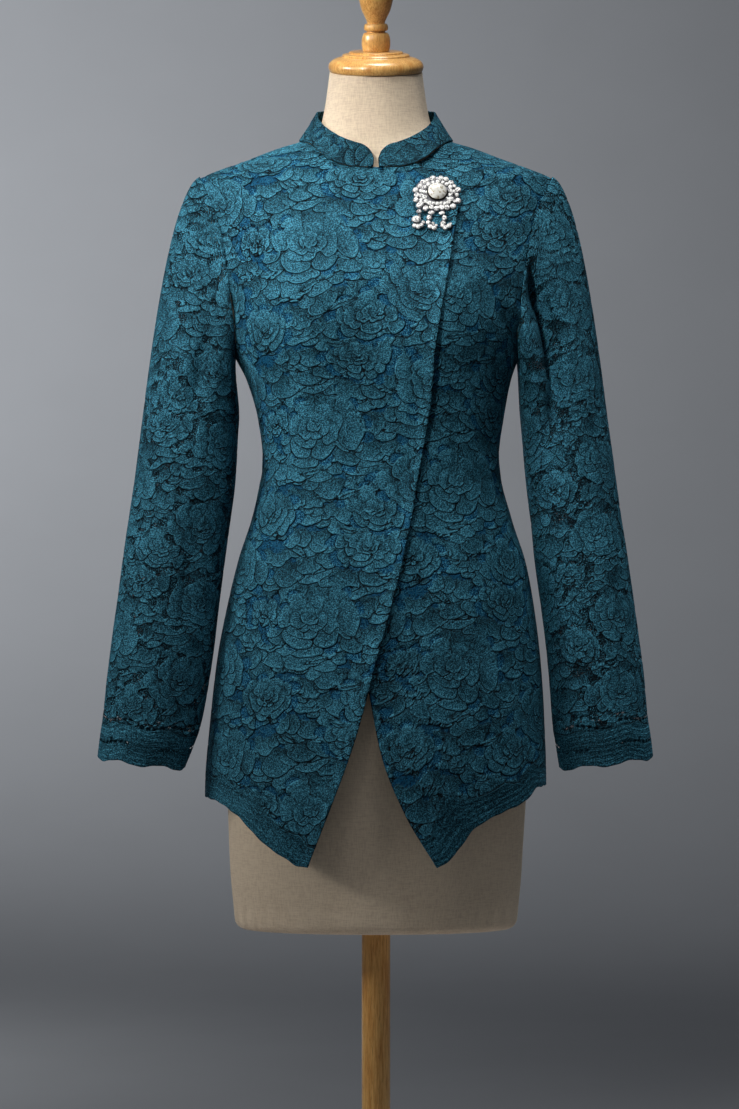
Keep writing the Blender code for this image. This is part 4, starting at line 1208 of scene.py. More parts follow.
@dataclass(frozen=True)
class OakFinish:
    """Varnished honey-coloured oak with fine upright grain."""

    name: str = "Varnished oak"
    pale: Colour = (246, 196, 118)
    deep: Colour = (206, 140, 66)
    pore: Colour = (150, 92, 40)

    def make(self) -> Material:
        """Builds the material."""
        shader = Shader(self.name, {
            "Coat Weight": 0.7, "Coat Roughness": 0.12, "Roughness": 0.38, "Specular IOR Level": 0.5,
        })
        broad = shader.noise(90, 2.0, (1, 1, 0.10))
        streak = shader.noise(640, 3.0, (1, 1, 0.05))
        pores = shader.noise(1800, 1.5, (1, 1, 0.05))
        grain = shader.math("MULTIPLY_ADD", streak, 0.9, shader.times(broad, 0.35))
        colour = shader.mix(shader.ramp(grain, 0.40, 0.84), srgb(*self.deep), srgb(*self.pale))
        colour = shader.mix(shader.ramp(pores, 0.56, 0.70, 0.0, 0.60), colour, srgb(*self.pore))
        shader.set("Base Color", colour)
        shader.set("Roughness", shader.ramp(pores, 0.5, 0.8, 0.30, 0.55))
        shader.bump(shader.times(pores, -1.0), 0.00008, 0.6)
        return shader.material


@dataclass(frozen=True)
class SilverFinish:
    """Old silver, darker in its hollows."""

    name: str = "Aged silver"
    pale: Colour = (130, 130, 134)
    dark: Colour = (20, 20, 24)
    roughness: float = 0.28

    def make(self) -> Material:
        """Builds the material."""
        shader = Shader(self.name, {"Metallic": 1.0, "Specular IOR Level": 0.5})
        stain = shader.noise(900, 3.0)
        hollow = shader.add("AmbientOcclusion", {"Distance": 0.0012}, samples=4).outputs["AO"]
        age = shader.times(shader.ramp(stain, 0.35, 0.6, 0.7, 1.0), shader.ramp(hollow, 0.25, 0.85))
        shader.set("Base Color", shader.mix(age, srgb(*self.dark), srgb(*self.pale)))
        shader.set("Roughness", shader.ramp(stain, 0.3, 0.7, self.roughness, self.roughness + 0.2))
        shader.bump(stain, 0.00006, 0.5)
        return shader.material


@dataclass(frozen=True)
class CrystalFinish:
    """Clear cut glass backed with foil, its sparkle painted into the colour as white with grey glints."""

    name: str = "Foiled crystal"
    colour: Colour = (255, 254, 250)
    shade: Colour = (118, 118, 128)
    patch: float = 620.0

    def make(self) -> Material:
        """Builds the material."""
        shader = Shader(self.name, {
            "Metallic": 0.0, "Coat Weight": 0.6, "Coat Roughness": 0.05, "Coat IOR": 1.6, "Specular IOR Level": 0.6,
        })
        # Painted reflection: on the cut stones the white and grey mottle stands in for the light their foil-backed
        # faces throw back.
        glint = shader.noise(self.patch, 1.0)
        shader.set("Base Color", shader.mix(shader.ramp(glint, 0.36, 0.47), srgb(*self.shade), srgb(*self.colour)))
        shader.set("Roughness", shader.ramp(glint, 0.3, 0.7, 0.08, 0.25))
        return shader.material


@dataclass(frozen=True)
class PaperFinish:
    """The plain matt surface of the studio."""

    name: str
    colour: Colour

    def make(self) -> Material:
        """Builds the material."""
        shader = Shader(self.name, {"Roughness": 0.95, "Specular IOR Level": 0.1})
        near = tuple(step * 0.97 for step in self.colour)
        shader.set("Base Color", shader.mix(shader.noise(3, 2.0), srgb(*near), srgb(*self.colour)))
        return shader.material


# ---------------------------------------------------------------- blouse


@dataclass
class Blouse:
    """The kebaya: two crossed fronts, a back, two sleeves and a stand collar, each with its own lace."""

    surface: BodySurface
    lace: LaceDesign
    front_rows: tuple[int, int, int] = (300, 120, 66)
    back_rows: tuple[int, int, int] = (240, 96, 54)
    outer_columns: int = 196
    under_columns: int = 150
    back_columns: int = 246
    side_crowding: float = 1.4
    back_crowding: float = 0.45
    sleeve_sides: int = 192
    cap_rows: int = 150
    tube_rows: int = 232
    collar_columns: int = 300
    collar_rows: int = 30
    border: LaceBorder = LaceBorder()
    cuff: LaceBorder = LaceBorder(depth=40.0, eyelet_rows=(18.0, 22.0, 41.0, 44.5), eyelet_radius=1.5, eyelet_long=1.9)
    # Creases, as crease_depth reads them.
    outer_creases: Table = (
        (-0.0935, 1.078, 0.075, 0.0048, 3, 0.0019), (-0.058, 1.072, 0.030, 0.0075, 68, 0.0012),
        (-0.110, 1.050, 0.030, 0.0080, 80, 0.0016), (-0.118, 1.252, 0.040, 0.0130, -28, 0.0012),
        (-0.020, 1.062, 0.040, 0.0090, 62, 0.0012), (-0.030, 0.930, 0.110, 0.0150, 14, 0.0012),
        (-0.075, 0.840, 0.120, 0.0180, 8, 0.0014), (-0.150, 1.215, 0.035, 0.0080, 15, 0.0024),
        (-0.078, 1.240, 0.060, 0.0170, 90, -0.0030),
    )
    under_creases: Table = (
        (0.0810, 1.078, 0.075, 0.0048, -3, 0.0019), (0.100, 1.046, 0.030, 0.0080, -78, 0.0015),
        (0.118, 1.250, 0.040, 0.0130, 30, 0.0012), (0.040, 0.900, 0.120, 0.0160, -12, 0.0012),
        (0.085, 0.820, 0.120, 0.0190, -8, 0.0013), (0.146, 1.235, 0.040, 0.0095, -32, 0.0034),
        (0.138, 1.205, 0.032, 0.0080, -48, 0.0026), (0.134, 1.252, 0.038, 0.0090, -32, -0.0040),
        (0.152, 1.212, 0.032, 0.0080, -40, -0.0034), (0.084, 1.240, 0.050, 0.0170, 66, -0.0030),
        (0.086, 1.050, 0.150, 0.0200, -5, -0.0036),
    )
    back_creases: Table = (
        (0.062, 1.078, 0.080, 0.0050, 0, 0.0018), (-0.056, 1.078, 0.080, 0.0050, 0, 0.0018),
        (0.095, 1.046, 0.035, 0.0080, 76, 0.0014), (-0.095, 1.046, 0.035, 0.0080, -76, 0.0014),
        (0.000, 0.860, 0.140, 0.0240, 0, 0.0014),
    )

    def build(self) -> list[Thing]:
        """Returns:
            The pieces.
        """
        lined = LaceFinish("Teal lace over lining").make()
        # The unlined lace's near-black ground is painted shade: the unlit inside of the sleeve seen through the net.
        bare = LaceFinish("Teal lace, unlined", ground=(2, 10, 15), see_through=True).make()
        finishes = (lined, SatinFinish().make())
        pieces = self.under_front(finishes) + self.outer_front(finishes) + self.back(finishes)
        pieces += self.sleeve("sleeve_left", SLEEVE_LEFT, FOLDS_LEFT, 1, bare)
        pieces += self.sleeve("sleeve_right", SLEEVE_RIGHT, FOLDS_RIGHT, -1, bare)
        # The collar's lace is a darker copy: partly denser doubled lace, partly painted shade for the shade the collar
        # sits in.
        doubled_and_shaded = LaceFinish("Teal lace, doubled", pale=(62, 126, 148), mid=(25, 64, 78), ground=(5, 62, 92)).make()
        return pieces + self.collar(doubled_and_shaded)

    def fill(self, bottom: Array, top: Array, left: Array, right: Array, spacing: Array) -> Array:
        """A grid of (angle, height) points that blends four edges; spacing is each column's share across."""
        across = spacing[None, :, None]
        up = np.linspace(0, 1, len(left))[:, None, None]
        grid = (1 - up) * bottom[None] + up * top[None] + (1 - across) * left[:, None] + across * right[:, None]
        corners = (1 - across) * (1 - up) * bottom[0] + across * (1 - up) * bottom[-1]
        return grid - corners - (1 - across) * up * top[0] - across * up * top[-1]

    def side_edge(self, facing: int, hem_height: float, neck_height: float, rows: tuple[int, int, int]) -> Array:
        """Side seam, armhole and shoulder seam of the left side, from the hem up to the neck."""
        side = np.linspace(hem_height, UNDERARM_HEIGHT, rows[0] + 1)
        turns = np.linspace(math.pi, 0, rows[1] + 1)[1:-1] * facing
        hole_angle, hole_height = self.surface.armhole(turns)
        shoulder = np.linspace(SHOULDER_HEIGHT, neck_height, rows[2] + 1)
        return np.vstack([
            pairs(self.surface.seam_angle(side, facing), side),
            pairs(hole_angle, hole_height),
            pairs(self.surface.seam_angle(shoulder, facing), shoulder),
        ])

    def free_edge(self, edge: Sequence[Row], neck_end: Array) -> Array:
        """The free edge of a front, from its point up to the neck seam, with as many rows as its side edge."""
        knots, rows = np.array(edge), self.front_rows
        low = np.linspace(knots[0, 0], UNDERARM_HEIGHT - 0.010, rows[0] + 1)
        high = np.linspace(UNDERARM_HEIGHT - 0.010, knots[-1, 0], rows[1] + 1)[1:]
        heights = np.concatenate([low, high])
        x = columns(edge, heights)[0]
        last = pairs(self.surface.angle_at(x[-1], heights[-1]), heights[-1])
        rest = np.linspace(0, 1, rows[2] + 1)[1:, None]
        to_neck = (1 - rest) * last + rest * pairs(neck_end[0], neck_end[1])
        return np.vstack([pairs(self.surface.angle_at(x, heights), heights), to_neck])

    def neck_turn(self, x: float) -> float:
        """Turn round the neck seam where its front crosses a sideways place."""
        return math.copysign(math.asin((abs(x) / NECK_HALF) ** (NECK_POWER_FRONT / 2)), x)

    def front_grid(self, hem: Sequence[Row], edge: Sequence[Row], neck_x: float, count: int) -> Array:
        """The (angle, height) grid of a front whose side seam is on the wearer's left."""
        spacing = np.linspace(0, 1, count + 1) ** self.side_crowding
        turns = math.pi / 2 + (self.neck_turn(neck_x) - math.pi / 2) * spacing
        top = pairs(*self.surface.neck_seam(turns))
        top[0, 0] = self.surface.seam_angle(top[0, 1], 1)
        left = self.side_edge(1, hem[0][1], top[0, 1], self.front_rows)
        rows = np.array(hem)[::-1] * [math.radians(1), 1]
        angles = rows[-1, 0] + (rows[0, 0] - rows[-1, 0]) * spacing
        bottom = pairs(angles, columns(rows, angles)[0])
        bottom[0, 0] = left[0, 0]
        right = self.free_edge(edge, top[-1])
        bottom[-1] = right[0]
        return self.fill(bottom, top, left, right, spacing)

    def back_grid(self) -> Array:
        """The (angle, height) grid of the back, from the wearer's left side round to the right."""
        even = np.linspace(0, 1, self.back_columns + 1)
        spacing = even - self.back_crowding * np.sin(2 * math.pi * even) / (2 * math.pi)
        top_angle, top_height = self.surface.neck_seam(math.pi / 2 + math.pi * spacing)
        top = pairs(np.where(top_angle < 0, top_angle + 2 * math.pi, top_angle), top_height)
        left = self.side_edge(-1, UNDER_HEM[0][1], top_height[0], self.back_rows)
        right = self.side_edge(-1, OUTER_HEM[0][1], top_height[-1], self.back_rows)
        right[:, 0] = 2 * math.pi - right[:, 0]
        top[0], top[-1] = left[-1], right[-1]
        ends = (1 - spacing)[:, None] * left[0] + spacing[:, None] * right[0]
        bottom = ends - pairs(0.0, BACK_HEM_DIP * np.sin(math.pi * spacing))
        return self.fill(bottom, top, left, right, spacing)

    def panel(
        self, node: str, grid: Array, lift: Array | float, creases: Table, shift: tuple[float, float],
        finishes: tuple[Material, Material], flip: bool = False,
    ) -> list[Thing]:
        """A panel of the body and the lining under it.

        Args:
            node: The CAD node that the panel stands for.
            grid: Its (angle, height) points, from the hem up.
            lift: How far it stands off the body's surface.
            creases: Its troughs.
            shift: Where on the lace it is cut, in metres.
            finishes: The lace's material and the lining's.
            flip: Whether the grid's columns run towards the wearer's right.

        Returns:
            The lace and the lining.
        """
        is_back = node == "back"
        angle, height = grid[..., 0], grid[..., 1]
        across, up = self.surface.laid_out(angle, height)
        slope = np.gradient(up[0]) / np.gradient(across[0])
        from_hem = (up - up[0]) / np.sqrt(1 + slope**2)
        ruffle = sum(rise * np.sin(across / length + phase) for rise, length, phase in HEM_RUFFLES)
        height = height + ruffle * np.exp(-from_hem / RUFFLE_REACH)
        points = self.surface.point(angle, height, lift)
        normals = self.surface.normal(angle, height)
        drawn = crease_depth(creases, points)
        flare = FLARE * smooth_step((FLARE_REACH - from_hem) / FLARE_REACH)
        flare = np.sin(across / FLARE_LENGTH + 0.6 * np.sin(up / FLARE_SWAY)) * flare
        points = points + normals * np.minimum(flare - drawn, MOST_RAISED)[..., None]
        start = self.surface.across_back(height) if is_back else 0.0
        channels = self.lace.sample(across - start + shift[0], up + shift[1])
        channels = self.border.apply(channels, across, from_hem)
        true_normals = grid_normals(points)
        true_normals *= np.sign(np.sum(true_normals * normals, axis=-1, keepdims=True))
        turned = (Edge.BOTTOM,) if is_back else (Edge.BOTTOM, Edge.RIGHT)
        lace = LaceSheet(node + "_lace", points, true_normals, channels, finishes[0], False, turned, flip=flip).build()
        every = slice(None, None, LINING_STEP)
        thin = points[every, every] - normals[every, every] * LINING_DEPTH
        return [lace, cloth_object(node + "_lining", thin, finishes[1], False, not flip)]

    def declare(self, pieces: list[Thing], node: str) -> list[Thing]:
        """Attaches pieces to the cloth body; the first of them stands for a node, whose CAD part is hidden."""
        for number, piece in enumerate(pieces):
            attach(piece, CLOTH_BODY)
            if number == 0:
                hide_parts(node)
        return pieces

    def outer_front(self, finishes: tuple[Material, Material]) -> list[Thing]:
        """The wearer's right front, which lies on top, and its lining."""
        edge = [(height, -x) for height, x in OUTER_EDGE]
        grid = self.front_grid(OUTER_HEM, edge, -OUTER_NECK_END, self.outer_columns) * [-1, 1]
        from_edge = np.arange(self.outer_columns, -1, -1) / EDGE_RAISED_COLUMNS
        low, high = EDGE_SETTLES
        raised = EDGE_RAISED * np.exp(-(from_edge**2)) * smooth_step((high - grid[..., 1]) / (high - low))
        lift = self.surface.lap_lift(grid[..., 0]) + raised
        pieces = self.panel("front_right_outer", grid, lift, self.outer_creases, (0.0, 0.0), finishes)
        return self.declare(pieces, "front_right_outer")

    def under_front(self, finishes: tuple[Material, Material]) -> list[Thing]:
        """The wearer's left front, which lies underneath, and its lining."""
        grid = self.front_grid(UNDER_HEM, UNDER_EDGE, UNDER_NECK_END, self.under_columns)
        pieces = self.panel("front_left_under", grid, 0.0, self.under_creases, (0.083, 0.052), finishes, True)
        return self.declare(pieces, "front_left_under")

    def back(self, finishes: tuple[Material, Material]) -> list[Thing]:
        """The back, in one piece from side to side, and its lining."""
        pieces = self.panel("back", self.back_grid(), 0.0, self.back_creases, (0.021, 0.091), finishes)
        return self.declare(pieces, "back")

    def sleeve_ring(self, table: Table, height: float, turn: Array) -> Array:
        """A round section of a left sleeve, square to its lean."""
        x, y, half_width, half_depth = columns(table[::-1], height)
        across = half_width * np.cos(turn)
        return np.stack([
            x + across * math.cos(SLEEVE_LEAN),
            y - half_depth * np.sin(turn),
            height + across * math.sin(SLEEVE_LEAN),
        ], axis=-1)

    def fold_depth(self, folds: Table, turn: Array, height: Array) -> Array:
        """How far the folds draw the cloth in towards the middle of the sleeve."""
        depth = np.zeros(np.broadcast(turn, height).shape)
        for middle, level, half_length, half_width, deep in folds:
            across = (np.degrees(turn) - middle) / half_width
            along = (height - level) / half_length
            depth += deep * np.exp(-(across**2)) * np.exp(-(along**2) * 1.5)
        return depth

    def sleeve_points(self, table: Table, folds: Table, side: int) -> Array:
        """Inner points of a sleeve: a cap that leaves the armhole and turns down, then a slanted tube."""
        turn = np.linspace(0, 2 * math.pi, self.sleeve_sides, endpoint=False)
        outside = (1 + np.cos(turn)) / 2
        angle, height = self.surface.armhole(np.where(turn > math.pi, turn - 2 * math.pi, turn))
        lift = SEAM_GAP + (WALL + SEAM_GAP) * smooth_step(1 - 2 * outside)
        start = self.surface.point(angle, height, lift)
        end = self.sleeve_ring(table, table[0][0], turn)
        leave = unit(outside[:, None] * np.array(CAP_LEAVES_ALONG) + (1 - outside)[:, None] * np.array([0, 0, -1.0]))
        back_up = np.array([-math.sin(SLEEVE_LEAN), 0.0, math.cos(SLEEVE_LEAN)])
        drop = CAP_DROPS_INSIDE + (CAP_DROPS_OUTSIDE - CAP_DROPS_INSIDE) * outside
        first = start + leave * CAP_LEAVES
        second = end + back_up * drop[:, None]
        t = (np.linspace(0, 1, self.cap_rows + 1) ** CAP_CROWDING)[:, None, None]
        cap = (1 - t) ** 3 * start + 3 * t * (1 - t) ** 2 * first + 3 * t**2 * (1 - t) * second + t**3 * end
        heights = np.linspace(table[0][0], table[-1][0], self.tube_rows + 1)[1:]
        tube = np.stack([self.sleeve_ring(table, level, turn) for level in heights])
        from_cuff = np.linspace(1, 0, self.tube_rows)[:, None]
        for count, rise, fade in CUFF_WAVES:
            tube[..., 2] += rise * np.cos(count * turn) * np.exp(-from_cuff * fade)
        points = np.concatenate([cap, tube])
        outward = points - points.mean(axis=1, keepdims=True)
        outward[..., 2] = 0
        inset = WALL + self.fold_depth(folds, turn, points[..., 2])
        coarse_row = np.arange(len(points)) * CAP_ROWS / self.cap_rows
        settled = smooth_step(coarse_row / 3)[:, None, None]
        inwards = unit(outward)
        sideways = np.stack([inwards[..., 1], -inwards[..., 0], 0 * inwards[..., 0]], axis=-1)
        deep = self.fold_depth([row for row in folds if row[4] > DEEP_FOLD], turn, points[..., 2])
        points = points - inset[..., None] * inwards * settled + FOLD_OVERHANG * deep[..., None] * sideways * settled
        return points * [side, 1, 1]

    def sleeve(
        self, node: str, table: Table, folds: Table, side: int, finish: Material
    ) -> list[Thing]:
        """One sleeve, set into its armhole.

        Args:
            node: The CAD node that it stands for.
            table: Its sections, from the top down.
            folds: Its long folds.
            side: 1 for the wearer's left and -1 for the right.
            finish: Its lace.

        Returns:
            The piece.
        """
        inner = self.sleeve_points(table, folds, side)
        normals = grid_normals(inner, closed=True)
        outward = inner - inner.mean(axis=1, keepdims=True)
        normals *= np.sign(np.sum(normals * outward, axis=-1).mean())
        points = inner + normals * WALL
        steps = np.linalg.norm(np.diff(points, axis=0), axis=-1)
        along = np.pad(np.cumsum(steps[::-1], axis=0)[::-1], ((0, 1), (0, 0)))
        turn = np.linspace(0, 2 * math.pi, self.sleeve_sides, endpoint=False)
        across = np.mod(turn - math.pi, 2 * math.pi) * SLEEVE_RADIUS + 0 * along
        scale, shift_x, shift_y = SLEEVE_LACE
        channels = self.lace.sample(scale * across + shift_x * side, scale * along + shift_y * side)
        channels = self.cuff.apply(channels, turn * CUFF_RADIUS + 0 * along, along)
        piece = LaceSheet(
            node + "_lace", points, normals, channels, finish, True, (Edge.BOTTOM, Edge.TOP), 0.0008, side < 0
        ).build()
        return self.declare([piece], node)

    def collar(self, finish: Material) -> list[Thing]:
        """The stand collar, one curved band from the front opening round the neck and back to it."""
        surface = self.surface
        first = self.neck_turn(COLLAR_OPENING)
        turns = np.linspace(first, 2 * math.pi - first, self.collar_columns + 1)
        angle, height = surface.neck_seam(turns)
        low, high = COLLAR_LEAVES_OUTER
        over_outer = surface.lap_lift(angle) * smooth_step((high - angle) / (high - low))
        base = surface.point(angle, height, over_outer + COLLAR_LIFT)
        side, ahead = np.sin(turns), np.cos(turns)
        x = COLLAR_TOP_HALF * signed_power(side, 2 / COLLAR_TOP_POWER)
        y = np.where(ahead > 0, -COLLAR_TOP_FRONT, COLLAR_TOP_BACK) * np.abs(ahead) ** (2 / COLLAR_TOP_POWER)
        to_side = np.clip(1 + y / COLLAR_TOP_FRONT, 0, 1) ** 0.7
        height = COLLAR_FRONT_HEIGHT + (COLLAR_SIDE_HEIGHT - COLLAR_FRONT_HEIGHT) * to_side
        height += (COLLAR_BACK_HEIGHT - COLLAR_SIDE_HEIGHT) * np.clip(y / COLLAR_TOP_BACK, 0, 1)
        top = np.stack([x, y, height], axis=-1)
        from_end = np.minimum(turns - first, 2 * math.pi - first - turns) * COLLAR_TOP_FRONT
        full = 0.45 + 0.55 * np.sqrt(1 - np.clip(1 - from_end / COLLAR_CORNER, 0, 1) ** 2)
        up = np.linspace(0, 1, self.collar_rows + 1)[:, None, None] * full[None, :, None]
        points = (1 - up) * base[None] + up * top[None]
        normals = grid_normals(points)
        outward = points * [1, 1, 0]
        normals *= np.sign(np.sum(normals * outward, axis=-1, keepdims=True))
        points = points + normals * WALL
        along = (turns - math.pi) * COLLAR_RADIUS + 0 * points[..., 0]
        rise = np.pad(np.cumsum(np.linalg.norm(np.diff(points, axis=0), axis=-1), axis=0), ((1, 0), (0, 0)))
        scale, lean, shift_x, shift_y = COLLAR_LACE
        channels = self.lace.sample(
            scale * (along * math.cos(lean) - rise * math.sin(lean)) + shift_x,
            scale * (along * math.sin(lean) + rise * math.cos(lean)) + shift_y,
        )
        around = (Edge.BOTTOM, Edge.TOP, Edge.LEFT, Edge.RIGHT)
        piece = LaceSheet("collar_lace", points, normals, channels, finish, False, around, 0.0007).build()
        return self.declare([piece], "collar")


# ---------------------------------------------------------------- dress form and stand


@dataclass
class DressForm:
    """The limbless form inside the blouse: a linen-covered torso, a turned neck block, a pole and a base."""

    surface: BodySurface
    sides: int = 112
    edge_rows: int = 7
    rows: int = 120
    neck_rows: int = 60
    turned_sides: int = 96

    def build(self) -> list[Thing]:
        """Makes and dresses every piece of the form.

        Returns:
            The pieces.
        """
        oak = OakFinish().make()
        torso = self.torso(LinenFinish().make())
        tilt = Matrix.Rotation(NECK_TILT, 4, "X")
        axis = tilt @ Vector((0, 0, 1))
        foot = Vector((0, 0, NECK_TOP)) + axis * SEAM_GAP
        cap_place = Matrix.Translation(foot) @ tilt
        finial_place = Matrix.Translation(foot + axis * (CAP_TURNED[0][1] + SEAM_GAP)) @ tilt
        low, high = BASE_PROFILE[0][1] + SEAM_GAP, FORM_BOTTOM - SEAM_GAP
        pole = ((0.0, high), (POLE_RADIUS - 0.001, high), (POLE_RADIUS, high - 0.001), (POLE_RADIUS, low), (0.0, low))
        pieces = [torso]
        for name, profile, place, steps in (
            ("neck_cap", CAP_TURNED, cap_place, 1),
            ("finial", FINIAL_TURNED, finial_place, 4),
            ("stand_pole", pole, Matrix.Identity(4), 1),
            ("stand_base", BASE_PROFILE, Matrix.Identity(4), 3),
        ):
            piece = turned_piece(name + "_turned", refined(profile, steps), self.turned_sides, place, oak)
            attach(piece, CLOTH_BODY)
            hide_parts(name)
            pieces.append(piece)
        return pieces

    def torso(self, linen: Material) -> Thing:
        """The linen-covered body and neck, with a laid-out place on each point for its weave."""
        turn = np.linspace(-math.pi, math.pi, self.sides, endpoint=False)
        levels = np.concatenate([
            FORM_BOTTOM + FORM_EDGE * np.linspace(0, 1, self.edge_rows)[:-1] ** 1.6,
            np.linspace(FORM_BOTTOM + FORM_EDGE, NECK_START, self.rows),
            np.linspace(NECK_START + 0.002, NECK_TOP, self.neck_rows),
        ])
        pulled = FORM_EDGE * (1 - np.sqrt(1 - np.clip(1 - (levels - FORM_BOTTOM) / FORM_EDGE, 0, 1) ** 2))
        ease = columns(EASE, levels)[0] + pulled
        points = self.surface.point(turn[None, :], levels[:, None], -WALL - ease[:, None])
        points[:LEVEL_ROWS, :, 2] = levels[:LEVEL_ROWS, None]
        tilt = np.clip((levels - NECK_TILT_START) / (NECK_TOP - NECK_TILT_START), 0, 1)[:, None]
        points[..., 2] += tilt * points[..., 1] * math.tan(NECK_TILT)
        thing = cloth_object("dress_form_torso", points, linen, True)
        centres = points[[0, -1]].mean(axis=1)
        mesh = thing.data
        select_only(thing)
        bpy.ops.object.mode_set(mode="EDIT")
        bpy.ops.mesh.select_all(action="DESELECT")
        bpy.ops.mesh.select_mode(type="EDGE")
        bpy.ops.mesh.select_non_manifold()
        bpy.ops.mesh.edge_face_add()
        bpy.ops.mesh.select_all(action="SELECT")
        bpy.ops.mesh.normals_make_consistent(inside=False)
        bpy.ops.object.mode_set(mode="OBJECT")
        log.info("torso ends at %.3f and %.3f m", centres[0, 2], centres[1, 2])
        across, up = self.surface.laid_out(np.broadcast_to(turn[None, :], points.shape[:2]), points[..., 2])
        place = np.stack([turn[None, :] * WEAVE_RADIUS + 0 * across, up, 0 * up], axis=-1)
        layer = mesh.attributes.new("laid_out", "FLOAT_VECTOR", "POINT")
        layer.data.foreach_set("vector", place.astype(np.float32).ravel())
        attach(thing, CLOTH_BODY)
        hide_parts("dress_form")
        return thing


def select_only(thing: Thing) -> None:
    """Makes one object the only one selected, and active."""
    bpy.ops.object.select_all(action="DESELECT")
    thing.select_set(True)
    bpy.context.view_layer.objects.active = thing


def refined(profile: Table, steps: int) -> list[tuple[float, float]]:
    """A turning profile with more rows, eased through the given ones.

    Args:
        profile: Rows of (radius, height), the first and last on the axis.
        steps: How many rows each step becomes.

    Returns:
        The finer rows.
    """
    rows = np.array(profile)
    inner = rows[1:-1]
    length = np.pad(np.cumsum(np.linalg.norm(np.diff(inner, axis=0), axis=1)), (1, 0))
    places = np.concatenate([np.linspace(a, b, steps + 1)[:-1] for a, b in zip(length, length[1:])] + [length[-1:]])
    radius, height = columns(np.column_stack([length, inner]), places)
    return list(zip(radius.tolist(), height.tolist()))


def turned_piece(
    name: str, profile: Sequence[tuple[float, float]], sides: int, place: Matrix, finish: Material
) -> Thing:
    """A solid turned on a lathe, its lowest disc drawn up row by row.

    Args:
        name: The piece's name.
        profile: Rows of (radius, height) from its top to its bottom.
        sides: Sides of the turned form.
        place: Where it stands.
        finish: Its material.

    Returns:
        The new object, at the origin.
    """
    rows = list(profile)[::-1]
    bpy.ops.object.select_all(action="DESELECT")
    bpy.ops.mesh.primitive_circle_add(
        vertices=sides, radius=rows[0][0], fill_type="NGON", location=(0, 0, rows[0][1])
    )
    thing = bpy.context.object
    thing.name = name
    bpy.ops.object.mode_set(mode="EDIT")
    bpy.ops.mesh.select_all(action="SELECT")
    for before, row in zip(rows, rows[1:]):
        bpy.ops.mesh.extrude_region_move(TRANSFORM_OT_translate={"value": (0, 0, row[1] - before[1])})
        share = row[0] / before[0]
        bpy.ops.transform.resize(value=(share, share, 1), center_override=(0, 0, row[1]))
    bpy.ops.mesh.select_all(action="SELECT")
    bpy.ops.mesh.normals_make_consistent(inside=False)
    bpy.ops.object.mode_set(mode="OBJECT")
    settle(thing, place)
    thing.data.materials.append(finish)
    select_only(thing)
    bpy.ops.object.shade_smooth_by_angle(angle=math.radians(32))
    return thing


def settle(thing: Thing, place: Matrix | None = None) -> None:
    """Puts an object's place into its mesh, so that the object stands at the origin."""
    bpy.context.view_layer.update()
    thing.data.transform((place or Matrix.Identity(4)) @ thing.matrix_world)
    thing.matrix_world = Matrix.Identity(4)
    thing.data.update()


# ---------------------------------------------------------------- brooch


@dataclass(frozen=True)
class Stone:
    """One cut stone: its place on the brooch, half width and half height, lift in metres, turn in degrees."""

    x: float
    y: float
    wide: float
    tall: float
    lift: float
    turn: float = 0.0


